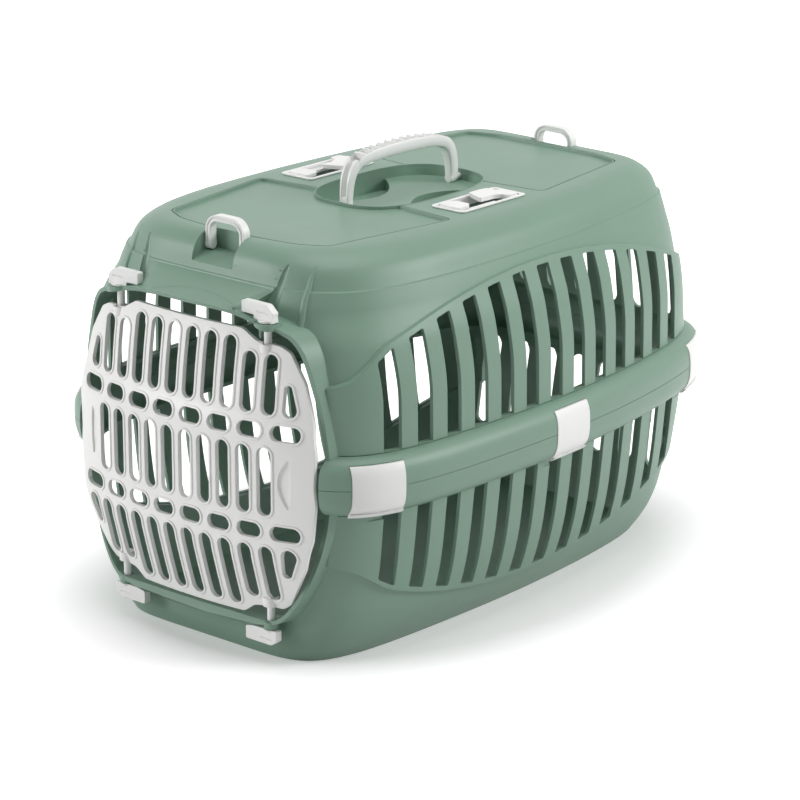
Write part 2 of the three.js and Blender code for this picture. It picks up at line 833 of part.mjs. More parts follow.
function doorOutline() {
  const right = doorOutlineShares.map(([side, rise]) => [
    doorHalfWidth * side,
    doorBottom + (doorTop - doorBottom) * rise,
  ]);
  const corners = [...right, ...mirrorX(right).reverse()].reverse();
  const outline = [];
  corners.forEach(([x, z], i) => {
    const [nextX, nextZ] = corners[(i + 1) % corners.length];
    const steps = Math.max(1, Math.round(Math.hypot(nextX - x, nextZ - z) / doorEdgeStep));
    for (let k = 0; k < steps; k++) {
      outline.push([
        THREE.MathUtils.lerp(x, nextX, k / steps),
        THREE.MathUtils.lerp(z, nextZ, k / steps),
      ]);
    }
  });
  return outline;
}

// A slot with round ends of two radii, turned to run between the two centres.
function slotOutline(low, lowRadius, high, highRadius, endSteps = 3) {
  const heading = Math.atan2(high[1] - low[1], high[0] - low[0]);
  const outline = [];
  const arc = (centre, radius, start) => {
    for (let i = 0; i <= endSteps; i++) {
      const angle = start + Math.PI * i / endSteps;
      outline.push([centre[0] + radius * Math.cos(angle), centre[1] + radius * Math.sin(angle)]);
    }
  };
  arc(high, highRadius, heading - Math.PI / 2);
  arc(low, lowRadius, heading + Math.PI / 2);
  return outline;
}

function doorSlots() {
  const slots = [];
  const r = doorSlotWidth / 2;
  const both = (outline) => slots.push(outline, mirrorX(outline));
  const upright = (x, [low, high]) => both(slotOutline([x, low + r], r, [x, high - r], r));
  for (let i = 0; i < doorSlotColumns; i++) {
    const x = doorSlotPitch * (i + 1 / 2);
    const notched = i > 2;
    upright(x, notched ? upperRowNotched : upperRow);
    upright(x, middleRow);
    upright(x, notched ? lowerRowNotched : lowerRow);
  }
  for (const { low, lowRadius, high, highRadius } of [upperEndSlot, lowerEndSlot]) {
    both(slotOutline(low, lowRadius, high, highRadius));
  }
  for (const z of crossRowHeights) {
    for (let i = 0; i < crossSlotColumns; i++) {
      const x = crossSlotPitch * (i + 1 / 2);
      const reach = crossSlotLength / 2 - r;
      both(slotOutline([x - reach, z], r, [x + reach, z], r));
    }
    const reach = crossSlotOuterLength / 2 - r;
    both(slotOutline([crossSlotOuterCentre - reach, z], r, [crossSlotOuterCentre + reach, z], r));
  }
  return slots;
}

function doorPlate() {
  const path = (outline) => outline.map(([x, z]) => new THREE.Vector2(x, z));
  const shape = new THREE.Shape(path(doorOutline()));
  shape.holes = doorSlots().map((outline) => new THREE.Path(path(outline)));
  const geometry = new THREE.ExtrudeGeometry(shape, { depth: doorThickness, bevelEnabled: false });
  const position = geometry.getAttribute("position");
  for (let i = 0; i < position.count; i++) {
    const [x, z, deep] = [position.getX(i), position.getY(i), position.getZ(i)];
    position.setXYZ(i, x, doorFaceY(x, z) + deep, z);
  }
  return solid(geometry);
}

function doorSocket(x, low, high) {
  const web = [low, (low + high) / 2, high].map((z) => {
    const face = doorFaceY(x, z) + webInset;
    return [[x - webHalfWidth, face], [x + webHalfWidth, face],
      [x + webHalfWidth, pinY], [x - webHalfWidth, pinY]].map(([a, b]) => new THREE.Vector3(a, b, z));
  });
  return join([prismZ(circle(x, pinY, socketRadius), low, high), loft(web, alongZ)]);
}

// The left sockets turn on their pins. The right ones are open behind, to swing off theirs.
function doorGrille() {
  const pieces = [doorPlate()];
  const bores = [];
  for (const x of [-pinX, pinX]) {
    const spans = [
      [socketTopHeight - socketLength, socketTopHeight],
      [socketBottomHeight, socketBottomHeight + socketLength],
    ];
    for (const [low, high] of spans) {
      pieces.push(doorSocket(x, low, high));
      bores.push(prismZ(circle(x, pinY, pinBore, 12), low - webInset, high + webInset));
      if (x > 0) {
        bores.push(block([x - pinBore, x + pinBore], [pinY, pinY + socketRadius + webInset],
          [low - webInset, high + webInset]));
      }
    }
  }
  return join(pieces).subtract(join(bores));
}

// Latch pins

// The thumb plate of the upper pins is stepped, to pass over the hood.
function latchPin(side, top) {
  const x = side * pinX;
  const direction = top ? 1 : -1;
  const foot = top ? upperKnobFoot : lowerKnobHead;
  const tip = top ? socketTopHeight - pinEngagement : socketBottomHeight + pinEngagement;
  const step = top ? upperKnobStep : 0;
  const middleY = pinY + (top ? upperKnobSetBack : lowerKnobSetBack);
  const across = (inward) => x - side * inward;
  const up = (away) => foot + direction * away;
  const outline = [
    [across(knobShoulder), up(step)], [across(knobInner - knobCorner), up(step)],
    [across(knobInner), up(step + knobCorner)], [across(knobInner), up(knobHeight - knobCorner)],
    [across(knobInner - knobCorner), up(knobHeight)], [across(knobCorner - knobOuter), up(knobHeight)],
    [across(-knobOuter), up(knobHeight - knobCorner)], [across(-knobOuter), up(0)],
    [across(knobShoulder), up(0)],
  ];
  const plate = prismY(top ? outline : outline.slice(1), middleY - knobDepth / 2, middleY + knobDepth / 2);
  const neck = block([x - pinRadius, x + pinRadius], [pinY, middleY],
    [up(0), up(knobHeight - knobCorner)].sort((a, b) => a - b));
  const [low, high] = [tip, up(knobHeight - knobCorner)].sort((a, b) => a - b);
  return join([plate, neck, prismZ(circle(x, pinY, pinRadius, 12), low, high)]);
}

// Carrying handle

// Height along the arch from the front foot to the rear foot, as shares.
const handlePathShares = [
  [0, 0], [0.004, 0.3], [0.016, 0.55], [0.045, 0.76], [0.1, 0.905], [0.19, 0.965], [0.34, 0.995],
  [0.5, 1], [0.66, 0.985], [0.8, 0.94], [0.9, 0.85], [0.955, 0.7], [0.985, 0.48], [0.997, 0.25], [1, 0],
];

function handlePath() {
  const rise = handleTop - handleThickness / 2 - handleAxisHeight;
  return handlePathShares.map(([along, up]) => new THREE.Vector3(
    0,
    THREE.MathUtils.lerp(handleFrontY, handleRearY, along),
    handleAxisHeight + rise * up,
  ));
}

function pathNormal(path, i) {
  const before = path[Math.max(0, i - 1)];
  const after = path[Math.min(path.length - 1, i + 1)];
  const along = after.clone().sub(before).normalize();
  return new THREE.Vector3(0, -along.z, along.y);
}

function carryHandle() {
  const path = handlePath();
  const section = [
    [-0.5, -0.12], [-0.38, -0.42], [-0.14, -0.5], [0.14, -0.5], [0.38, -0.42], [0.5, -0.12],
    [0.5, 0.36], [0.4, 0.5], [-0.4, 0.5], [-0.5, 0.36],
  ];
  const rings = path.map((centre, i) => {
    const out = pathNormal(path, i);
    const foot = Math.min(i, path.length - 1 - i) / 3;
    const thin = THREE.MathUtils.lerp(handleFootRadius * 2 / handleThickness, 1, Math.min(1, foot));
    return section.map(([across, deep]) => centre.clone()
      .add(new THREE.Vector3(across * handleWidth * Math.max(thin, 0.8), 0, 0))
      .addScaledVector(out, deep * handleThickness * thin));
  });
  const arch = loft(rings, alongZ);
  const cells = [];
  const step = (channelEnd - channelStart) / channelCells;
  for (let i = 0; i < channelCells; i++) {
    const y = channelStart + step * (i + 1 / 2);
    const k = path.findIndex((p) => p.y > y);
    const share = (y - path[k - 1].y) / (path[k].y - path[k - 1].y);
    const centre = path[k - 1].clone().lerp(path[k], share);
    const out = pathNormal(path, k - 1).lerp(pathNormal(path, k), share).normalize();
    const along = new THREE.Vector3(0, out.z, -out.y);
    const corner = (a, b) => centre.clone().addScaledVector(along, a).addScaledVector(out, b);
    const reach = (step - channelRib) / 2;
    const low = handleThickness / 2 - channelDepth;
    const high = handleThickness;
    const outline = [corner(-reach, low), corner(reach, low), corner(reach, high), corner(-reach, high)];
    cells.push(prismX(outline.map((p) => [p.y, p.z]), -channelWidth / 2, channelWidth / 2));
  }
  const feet = [[handleFrontY, -1], [handleRearY, 1]].flatMap(([y, outward]) => {
    const back = new THREE.Vector3(0, y - outward * handleFootRadius, handleAxisHeight);
    const face = new THREE.Vector3(0, y + outward * handleFootRadius, handleAxisHeight);
    const wall = recessMiddleY + outward * (recessHalfLength + handlePinLength);
    const tip = new THREE.Vector3(0, wall, handleAxisHeight);
    return [rod(back, face, handleFootRadius, 16), rod(back, tip, handlePinRadius, 12)];
  });
  return arch.subtract(join(cells)).add(join(feet));
}

// Strap rings

function strapRing(ringY) {
  const top = ringAxisHeight + ringRise;
  const outer = roundedBox(ringHalfWidth, ringRise, ringCorner, 4);
  const inner = roundedBox(ringHalfWidth - ringBar, ringRise - ringBar, ringCorner - ringBar, 4);
  const keep = block([-ringHalfWidth, ringHalfWidth], [ringY - ringDepth, ringY + ringDepth],
    [ringAxisHeight, top + ringRise]);
  const loop = prismY(moved(outer, 0, ringAxisHeight), ringY - ringDepth / 2, ringY + ringDepth / 2)
    .subtract(prismY(moved(inner, 0, ringAxisHeight), ringY - ringDepth, ringY + ringDepth))
    .intersect(keep);
  const feet = [-1, 1].flatMap((side) => {
    const at = (x) => new THREE.Vector3(side * x, ringY, ringAxisHeight);
    return [
      rod(at(ringHalfWidth - ringBar), at(ringHalfWidth), ringEyeRadius, 14),
      rod(at(ringHalfWidth - ringBar), at(pocketHalfWidth + ringPinLength), ringPinRadius, 12),
    ];
  });
  return join([loop, ...feet]);
}

// Belt holders

function beltHolder(side) {
  const top = roofHeight + holderFlange;
  const flange = prismZ(holderOutline(side, 0), roofHeight + fitClearance, top)
    .subtract(prismZ(holderOutline(side, -holderRim * 2), roofHeight, top + holderFlange));
  const skirt = prismZ(holderOutline(side, -holderRim), roofHeight - holderSkirt, top)
    .subtract(prismZ(holderOutline(side, -holderRim - holderWallThickness),
      roofHeight - holderSkirt - holderFlange, top + holderFlange));
  const inside = holderHalfWidth - holderRim - holderWallThickness / 2;
  const nearY = holderY - holderHalfLength + holderRim * 1.5;
  const farY = holderY + holderHalfLength - holderRim * 1.5;
  const centre = side * holderX;
  const out = (reach) => centre + side * reach;
  const frontHook = prismZ([
    [out(-inside * 0.9), nearY], [out(inside * 0.45), nearY],
    [out(inside * 0.45), nearY + holderHalfLength * 0.62], [out(inside * 0.25), nearY + holderHalfLength * 0.74],
    [out(-inside * 0.62), nearY + holderHalfLength * 0.74], [out(-inside * 0.9), nearY + holderHalfLength * 0.62],
  ], top - hookThickness / 2, top + hookThickness / 2);
  const sideTongue = prismZ([
    [out(inside * 0.55), nearY], [out(inside * 0.95), nearY],
    [out(inside * 0.9), nearY + holderHalfLength * 1.05], [out(inside * 0.6), nearY + holderHalfLength * 1.05],
  ], roofHeight - hookThickness, roofHeight - hookThickness / 4);
  const rearHook = prismZ([
    [out(-inside * 0.42), farY], [out(-inside * 0.42), farY - holderHalfLength * 0.42],
    [out(-inside * 0.95), farY - holderHalfLength * 0.62], [out(-inside * 0.9), farY - holderHalfLength * 0.95],
    [out(inside * 0.3), farY - holderHalfLength * 0.95], [out(inside * 0.42), farY - holderHalfLength * 0.6],
    [out(inside * 0.3), farY - holderHalfLength * 0.42], [out(inside * 0.42), farY],
  ], top - hookThickness / 2, top + hookThickness * 0.9);
  return join([flange, skirt, frontHook, sideTongue, rearHook]);
}

// Assembly

const sageGreen = 0x7f9f8c;
const lightGrey = 0xe8e8e6;

function material(colour, roughness) {
  return new THREE.MeshStandardMaterial({ color: colour, roughness, metalness: 0 });
}

// Corners joined by a very short edge become one, which drops the slivers that cuts leave.
function collapsed(positions, triangles) {
  const kept = Array.from({ length: positions.length / 3 }, (_, i) => i);
  const root = (i) => (kept[i] === i ? i : root(kept[i]));
  const corner = (i) => new THREE.Vector3().fromArray(positions, i * 3);
  for (let i = 0; i < triangles.length; i++) {
    const a = triangles[i];
    const b = triangles[i % 3 === 2 ? i - 2 : i + 1];
    if (corner(a).distanceTo(corner(b)) < shortestEdge) {
      kept[Math.max(root(a), root(b))] = Math.min(root(a), root(b));
    }
  }
  const index = [];
  for (let i = 0; i < triangles.length; i += 3) {
    const [a, b, c] = [root(triangles[i]), root(triangles[i + 1]), root(triangles[i + 2])];
    if (a !== b && b !== c && c !== a) {
      index.push(a, b, c);
    }
  }
  return index;
}

function meshFrom(name, manifold, colour, roughness) {
  const raw = manifold.getMesh();
  const positions = new Float32Array(raw.numVert * 3);
  for (let i = 0; i < raw.numVert; i++) {
    for (let k = 0; k < 3; k++) {
      positions[i * 3 + k] = raw.vertProperties[i * raw.numProp + k];
    }
  }
  const geometry = new THREE.BufferGeometry();
  geometry.setAttribute("position", new THREE.BufferAttribute(positions, 3));
  geometry.setIndex(collapsed(positions, raw.triVerts));
  geometry.computeVertexNormals();
  const mesh = new THREE.Mesh(geometry, material(colour, roughness));
  mesh.name = name;
  return mesh;
}

const shellRoughness = 0.55;
const trimRoughness = 0.45;

const group = new THREE.Group();
group.name = "pet_carrier";
group.add(meshFrom("bottom_tub", bottomTub(), sageGreen, shellRoughness));
group.add(meshFrom("top_canopy", topCanopy(), sageGreen, shellRoughness));
group.add(meshFrom("door_grille", doorGrille(), lightGrey, trimRoughness));
for (const [side, word] of [[-1, "left"], [1, "right"]]) {
  group.add(meshFrom(`latch_pin_top_${word}`, latchPin(side, true), lightGrey, trimRoughness));
  group.add(meshFrom(`latch_pin_bottom_${word}`, latchPin(side, false), lightGrey, trimRoughness));
}
for (const frame of clipFrames) {
  group.add(meshFrom(frame.name, clipSolid(frame), lightGrey, trimRoughness));
}
group.add(meshFrom("carry_handle", carryHandle(), lightGrey, trimRoughness));
for (const { name, side } of holderFrames) {
  group.add(meshFrom(name, beltHolder(side), lightGrey, trimRoughness));
}
group.add(meshFrom("strap_ring_front", strapRing(ringFrontY), lightGrey, trimRoughness));
group.add(meshFrom("strap_ring_rear", strapRing(ringRearY), lightGrey, trimRoughness));

// The carrier stands on the ground with the middle of its box at the origin.
const box = new THREE.Box3().setFromObject(group);
const shift = new THREE.Vector3(-(box.min.x + box.max.x) / 2, -(box.min.y + box.max.y) / 2, -box.min.z);
for (const mesh of group.children) {
  mesh.geometry.translate(shift.x, shift.y, shift.z);
}

export default group;
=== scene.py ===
"""The looks of a moulded plastic pet carrier, laid out as a Blender add-on and run as a script."""

import math

import bmesh
import bpy
import numpy as np
from mathutils import Matrix, Vector


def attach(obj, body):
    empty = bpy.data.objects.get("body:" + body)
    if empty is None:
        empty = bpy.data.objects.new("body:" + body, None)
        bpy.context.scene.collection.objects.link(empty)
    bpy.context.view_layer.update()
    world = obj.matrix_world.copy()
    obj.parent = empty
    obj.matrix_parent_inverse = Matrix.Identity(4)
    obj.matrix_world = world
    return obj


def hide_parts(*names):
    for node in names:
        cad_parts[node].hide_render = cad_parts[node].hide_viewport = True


bl_info = {
    "name": "Pet Carrier",
    "version": (1, 0, 0),
    "blender": (4, 5, 0),
    "location": "3D View > Sidebar > Pet Carrier",
    "description": "Builds a slotted plastic pet carrier with a domed grille door",
    "category": "Object",
}

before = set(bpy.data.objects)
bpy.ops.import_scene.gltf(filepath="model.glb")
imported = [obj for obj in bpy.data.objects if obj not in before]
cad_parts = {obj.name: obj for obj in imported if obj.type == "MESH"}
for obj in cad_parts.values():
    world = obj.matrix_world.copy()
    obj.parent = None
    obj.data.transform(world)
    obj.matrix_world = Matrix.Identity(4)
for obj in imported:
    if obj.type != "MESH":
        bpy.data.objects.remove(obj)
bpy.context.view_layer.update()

# Sizes are worked out in millimetres and put into the mesh in metres.
MILLIMETRE = 0.001
SIDES = {"left": -1, "right": 1}
# The forms are drawn about another y than the frame's and moved by this much at the end.
MIDDLE_Y = -13.055
TURN = 2 * math.pi


# Property groups

def size(name, default, description):
    """A length property in millimetres."""
    return bpy.props.FloatProperty(name=name, default=default, description=description + ", in millimetres", min=0.0,
                                   unit="NONE", subtype="NONE")


def tint(name, default, description):
    """A colour property, written as an sRGB hex value."""
    return bpy.props.StringProperty(name=name, default=default, description=description)


class CarrierShellSettings(bpy.types.PropertyGroup):
    wall: size("Wall", 3.0, "Thickness of the moulded walls")
    rim_height: size("Seam height", 146.9, "Height of the seam between tub and canopy")
    roof_height: size("Roof height", 309.5, "Height of the roof")
    half_width: size("Half width", 156.5, "Half the width of the walls at the seam")
    front_reach: size("Front reach", 210.0, "Reach of the walls to the front")
    rear_reach: size("Rear reach", 246.0, "Reach of the walls to the rear")
    rim_bulge: size("Rim bulge", 15.55, "How far the half-round band stands out")
    rim_half_height: size("Rim half height", 23.0, "Half the height of the band")
    slot_pitch: size("Slot pitch", 29.5, "Spacing of the side slots")
    slot_width: size("Slot width", 14.8, "Width of a side slot")
    panel_step: size("Panel step", 3.5, "How far the slotted panels stand out")
    colour: tint("Shell colour", "789684", "Colour of the tub and canopy, as an sRGB hex value")


class CarrierTrimSettings(bpy.types.PropertyGroup):
    door_half_width: size("Door half width", 120.8, "Half the width of the door")
    door_top: size("Door top", 257.1, "Height of the top of the door")
    door_bottom: size("Door bottom", 37.0, "Height of the bottom of the door")
    door_dome: size("Door dome", 20.8, "How far the door falls back at its sides")
    door_slot_width: size("Door slot width", 11.6, "Width of a slot in the door")
    clip_width: size("Clip width", 41.0, "Width of a rim clip")
    handle_width: size("Handle width", 14.0, "Width of the carrying handle")
    handle_top: size("Handle top", 346.3, "Height of the top of the handle")
    colour: tint("Trim colour", "F5F5F3", "Colour of the door, clips, handle and rings")


class CarrierStageSettings(bpy.types.PropertyGroup):
    lens: size("Lens", 163.2, "Focal length for a sensor 36 millimetres wide")
    camera_place: bpy.props.FloatVectorProperty(
        name="Camera place", default=(1.7950, -2.0525, 0.9970), size=3, subtype="XYZ",
        description="Where the camera stands, in metres")
    camera_target: bpy.props.FloatVectorProperty(
        name="Camera target", default=(0.0110, -0.01304, 0.14029), size=3, subtype="XYZ",
        description="The point in the middle of the picture, in metres")


# Shapes

def signed_volume(points, faces):
    """Six times the volume inside the faces, as a sum of triple products over a fan of each face."""
    total = 0.0
    for group in faces:
        a = points[group[:, 0]]
        for k in range(1, group.shape[1] - 1):
            total += np.einsum("ij,ij->i", a, np.cross(points[group[:, k]], points[group[:, k + 1]])).sum()
    return total


def mesh_of(points, faces):
    """A mesh from points and groups of faces, turned so that its faces look outwards."""
    if signed_volume(points, faces) < 0:
        faces = [group[:, ::-1] for group in faces]
    mesh = bpy.data.meshes.new("form")
    mesh.from_pydata(points, [], [face for group in faces for face in group.tolist()])
    mesh.update()
    return mesh


def loft(rings):
    """A skin over rings of points: point (r, i) joins (r, i + 1) and (r + 1, i). Both ends are closed flat."""
    rings = np.asarray(rings, float)
    rows, count, _ = rings.shape
    r, i = np.meshgrid(np.arange(rows - 1), np.arange(count), indexing="ij")
    a = r * count + i
    b = r * count + (i + 1) % count
    sides = np.stack([a, b, b + count, a + count], axis=-1).reshape(-1, 4)
    first = np.arange(count)[None, ::-1]
    last = (rows - 1) * count + np.arange(count)[None, :]
    return mesh_of(rings.reshape(-1, 3), [sides, first, last])


def along(outline, axis, low, high):
    """An outline carried straight along an axis from low to high."""
    outline = np.asarray(outline, float)
    return loft([np.insert(outline, "xyz".index(axis), value, axis=1) for value in (low, high)])


def block(x, y, z):
    """A box between two limits on each axis."""
    return along([(x[0], y[0]), (x[1], y[0]), (x[1], y[1]), (x[0], y[1])], "z", z[0], z[1])


def arc(centre, radius, start, end, count):
    """Centre plus radius times cosine and sine of equal steps from the start to the end angle."""
    angle = np.linspace(start, end, count)
    return np.column_stack([centre[0] + radius * np.cos(angle), centre[1] + radius * np.sin(angle)])


def circle(centre, radius, count=48):
    return arc(centre, radius, 0, TURN, count + 1)[:-1]


def rod(start, end, radius, count=32, rounding=0.0):
    """A round bar from start to end. Its radius falls at each end by a quarter round of the given rounding."""
    start, end = np.asarray(start, float), np.asarray(end, float)
    axis = end - start
    length = np.linalg.norm(axis)
    axis /= length
    side = np.cross((0, 0, 1) if abs(axis[2]) < 0.9 else (1, 0, 0), axis)
    side /= np.linalg.norm(side)
    up = np.cross(axis, side)
    unit = circle((0, 0), 1, count)
    ring = unit[:, :1] * side + unit[:, 1:] * up
    bend = np.linspace(0, TURN / 4, 5 if rounding else 1)
    inset, shrink = rounding * (1 - np.cos(bend)), rounding * (1 - np.sin(bend))
    offsets = np.concatenate([inset, length - inset[::-1]])
    radii = radius - np.concatenate([shrink, shrink[::-1]])
    return loft(start + offsets[:, None, None] * axis + radii[:, None, None] * ring)


def rounded_box(half_a, half_b, radius, steps=8):
    """A rectangle whose corners are quarter rounds."""
    return np.concatenate([
        arc((a * (half_a - radius), b * (half_b - radius)), radius, k * TURN / 4, (k + 1) * TURN / 4, steps + 1)
        for k, (a, b) in enumerate([(1, 1), (-1, 1), (-1, -1), (1, -1)])])


def grown(outline, distance):
    """Each point moves out along the mean of its two side normals, stretched to keep the sides parallel."""
    outline = np.asarray(outline, float)
    before, after = np.roll(outline, 1, axis=-2), np.roll(outline, -1, axis=-2)
    area = (outline[..., 0] * after[..., 1] - after[..., 0] * outline[..., 1]).sum(-1)
    into, out = outline - before, after - outline
    into /= np.linalg.norm(into, axis=-1, keepdims=True)
    out /= np.linalg.norm(out, axis=-1, keepdims=True)
    total = np.stack([into[..., 1] + out[..., 1], -into[..., 0] - out[..., 0]], axis=-1)
    total *= 2 / (total ** 2).sum(-1, keepdims=True)
    sign = np.sign(area)
    return outline + total * np.asarray(sign * distance)[..., None, None]


def smoothed(points, steps, closed=True):
    """Catmull-Rom curve through the points, with the same number of steps between each two."""
    points = np.asarray(points, float)
    if closed:
        p0, p1, p2, p3 = (np.roll(points, k, axis=0) for k in (1, 0, -1, -2))
    else:
        padded = np.concatenate([[2 * points[0] - points[1]], points, [2 * points[-1] - points[-2]]])
        p0, p1, p2, p3 = padded[:-3], padded[1:-2], padded[2:-1], padded[3:]
    t = (np.arange(steps) / steps)[None, :, None]
    p0, p1, p2, p3 = (p[:, None, :] for p in (p0, p1, p2, p3))
    curve = 0.5 * (2 * p1 + (p2 - p0) * t + (2 * p0 - 5 * p1 + 4 * p2 - p3) * t ** 2
                   + (3 * p1 - p0 - 3 * p2 + p3) * t ** 3)
    curve = curve.reshape(-1, points.shape[1])
    return curve if closed else np.concatenate([curve, points[-1:]])


def monotone(table, at):
    """Columns of a table against its first one, as cubics that never swing past the given values."""
    table = np.asarray(table, float)
    x, y = table[:, 0], table[:, 1:]
    h = np.diff(x)[:, None]
    slope = np.diff(y, axis=0) / h
    tangent = np.zeros_like(y)
    tangent[0], tangent[-1] = slope[0], slope[-1]
    one, two = slope[:-1], slope[1:]
    same = one * two > 0
    weight_one, weight_two = 2 * h[1:] + h[:-1], h[1:] + 2 * h[:-1]
    safe_one, safe_two = np.where(same, one, 1), np.where(same, two, 1)
    tangent[1:-1] = np.where(same, (weight_one + weight_two) / (weight_one / safe_one + weight_two / safe_two), 0)
    at = np.asarray(at, float)
    i = np.clip(np.searchsorted(x, at, side="right") - 1, 0, len(x) - 2)
    t = ((at - x[i]) / np.diff(x)[i])[:, None]
    t = np.clip(t, 0, 1)
    width = h[i]
    return ((2 * t ** 3 - 3 * t ** 2 + 1) * y[i] + (t ** 3 - 2 * t ** 2 + t) * width * tangent[i]
            + (3 * t ** 2 - 2 * t ** 3) * y[i + 1] + (t ** 3 - t ** 2) * width * tangent[i + 1])


def eased(points, rounds=3):
    """Corner cutting: in each round a side gives two points, a quarter and three quarters along it."""
    points = np.asarray(points, float)
    for _ in range(rounds):
        after = np.roll(points, -1, axis=0)
        points = np.stack([0.75 * points + 0.25 * after, 0.25 * points + 0.75 * after], axis=1).reshape(-1, 2)
    return points


def smoothstep(share):
    """Three times the square less twice the cube of a share, which is held between nought and one."""
    share = np.clip(share, 0, 1)
    return share * share * (3 - 2 * share)


def mirrored(outline):
    """The outline on the other side, run backwards."""
    return (outline * (-1, 1))[::-1]


def placed(name, data):
    """A new object in the scene."""
    made = bpy.data.objects.new(name, data)
    bpy.context.scene.collection.objects.link(made)
    return made


def carve(base, *steps):
    """Joins to or cuts from the base each closed form in turn. The forms are used up."""
    target = placed("base", base)
    tools = [target]
    for operation, form in steps:
        tool = placed("tool", form)
        tools.append(tool)
        change = target.modifiers.new(operation, "BOOLEAN")
        change.operation = operation
        change.solver = "MANIFOLD"
        change.object = tool
    graph = bpy.context.evaluated_depsgraph_get()
    made = bpy.data.meshes.new_from_object(target.evaluated_get(graph))
    for tool in tools:
        mesh = tool.data
        bpy.data.objects.remove(tool)
        bpy.data.meshes.remove(mesh)
    if not made.polygons:
        raise RuntimeError("a cut or join left nothing")
    return made


def together(forms):
    """Forms that don't touch, put in one mesh."""
    points, faces, start = [], [], 0
    for form in forms:
        co = np.zeros(len(form.vertices) * 3)
        form.vertices.foreach_get("co", co)
        points.append(co.reshape(-1, 3))
        faces += [[start + v for v in polygon.vertices] for polygon in form.polygons]
        start += len(form.vertices)
        bpy.data.meshes.remove(form)
    mesh = bpy.data.meshes.new("forms")
    mesh.from_pydata(np.concatenate(points), [], faces)
    mesh.update()
    return mesh


JOIN, CUT, KEEP = "UNION", "DIFFERENCE", "INTERSECT"


# Shell form

RING_POINTS = 240
FRONT_SQUARENESS, REAR_SQUARENESS = 7, 9
WIDEST_AT = -25
FRONT_NARROWING, REAR_NARROWING = 0.055, 0.264
RIM_REAR_REACH = 249.5
CORNER_CROWDING = 0.45
WALL_RINGS, BAND_RINGS = 44, 15
CANOPY_WALL_START, TUB_WALL_END = 0.165, 0.82
RIM_WALL = 4.5
SEAM_GAP = 0.3
FAR = 400.0

# Each row holds the height, side, front and rear as shares, and the squareness of the front corners.
CANOPY_WALL = [
    (0.142, 1, 1, 1, 1), (0.36, 0.997, 0.997, 0.983, 1), (0.6, 0.959, 0.988, 0.958, 0.88),
    (0.763, 0.903, 0.972, 0.938, 0.68), (0.84, 0.874, 0.951, 0.927, 0.68),
]
# The crown starts on a narrow ledge that runs round the canopy.
CROWN_WALL = [
    (0.843, 0.862, 0.945, 0.92, 0.68), (0.93, 0.82, 0.927, 0.896, 0.64), (0.972, 0.768, 0.902, 0.868, 0.62),
    (0.993, 0.716, 0.875, 0.845, 0.6), (1, 0.675, 0.85, 0.825, 0.6),
]
TUB_WALL = [
    (0, 0.725, 0.975, 0.9, 1), (0.082, 0.796, 0.993, 0.912, 1), (0.163, 0.853, 0.996, 0.92, 1),
    (0.29, 0.911, 0.999, 0.932, 1), (0.52, 0.964, 1, 0.949, 1), (0.843, 1, 1, 0.985, 1),
]


def shell():
    return bpy.context.scene.carrier_shell


def plan_rings(side, front, rear, outward=0.0, corner=1.0):
    """Superellipses seen from above, one for each row. A point lies at reach times (cosine, sine), where reach
    is (|cosine|^p + |sine|^p)^(-1/p), and its x narrows with the square of its distance from the widest place.
    The angles crowd towards the corners."""
    given = (side, front, rear, outward, corner)
    side, front, rear, outward, corner = np.broadcast_arrays(*map(np.atleast_1d, given))
    turn = np.arange(RING_POINTS) / RING_POINTS * TURN
    angle = turn + CORNER_CROWDING * np.sin(4 * turn) / 4
    c, s = np.cos(angle)[None, :], np.sin(angle)[None, :]
    power = np.where(s < 0, FRONT_SQUARENESS * corner[:, None], REAR_SQUARENESS)
    reach = (np.abs(c) ** power + np.abs(s) ** power) ** (-1 / power)
    y = ((rear - front) / 2)[:, None] + ((rear + front) / 2)[:, None] * reach * s
    ahead = (WIDEST_AT - y) / (WIDEST_AT + shell().front_reach)
    behind = (y - WIDEST_AT) / (shell().rear_reach - WIDEST_AT)
    narrow = np.where(y < WIDEST_AT, 1 - FRONT_NARROWING * ahead ** 2, 1 - REAR_NARROWING * behind ** 2)
    return grown(np.stack([side[:, None] * reach * c * narrow, y], axis=-1), outward)


def raised(rings, z):
    """The rings of an outline, each lifted to its height."""
    heights = np.broadcast_to(np.asarray(z, float)[:, None, None], rings.shape[:2] + (1,))
    return np.concatenate([rings, heights], axis=-1)


def wall_rings(table, low, high, grow, first=None):
    """The walls from a table of shares, taken as smooth curves of the height."""
    own = shell()
    start = table[0][0] if first is None else first
    rows = [row[0] for row in table if row[0] >= start]
    at = np.unique(np.concatenate([np.linspace(start, table[-1][0], WALL_RINGS), rows]))
    side, front, rear, corner = monotone(table, at).T
    rings = plan_rings(own.half_width * side, own.front_reach * front, own.rear_reach * rear, grow, corner)
    return raised(rings, low + (high - low) * at)


def rim_rings(direction, bulge, half_height, inset, seam):
    """The band swells by its bulge times the root of one less the cube of the rise."""
    own = shell()
    rise = np.sin(np.linspace(0, TURN / 4, BAND_RINGS))
    z = half_height * rise
    z[0] = seam
    swell = bulge * np.sqrt(np.clip(1 - rise ** 3, 0, None))
    rings = plan_rings(own.half_width, own.front_reach, RIM_REAR_REACH, swell - inset)
    return raised(rings, own.rim_height + direction * z)


def rim_half(direction, inset, seam):
    """The outer face of half of the band, or with an inset its inner face."""
    own = shell()
    bulge = own.rim_bulge - (RIM_WALL - inset if inset else 0)
    return rim_rings(direction, bulge, own.rim_half_height - inset, inset, seam)


def canopy_body(inset, seam):
    own = shell()
    wall = np.concatenate([wall_rings(CANOPY_WALL, own.rim_height, own.roof_height, -inset, CANOPY_WALL_START),
                           wall_rings(CROWN_WALL, own.rim_height, own.roof_height, -inset)])
    wall[..., 2] -= inset
    return loft(np.concatenate([rim_half(1, inset, seam), wall]))


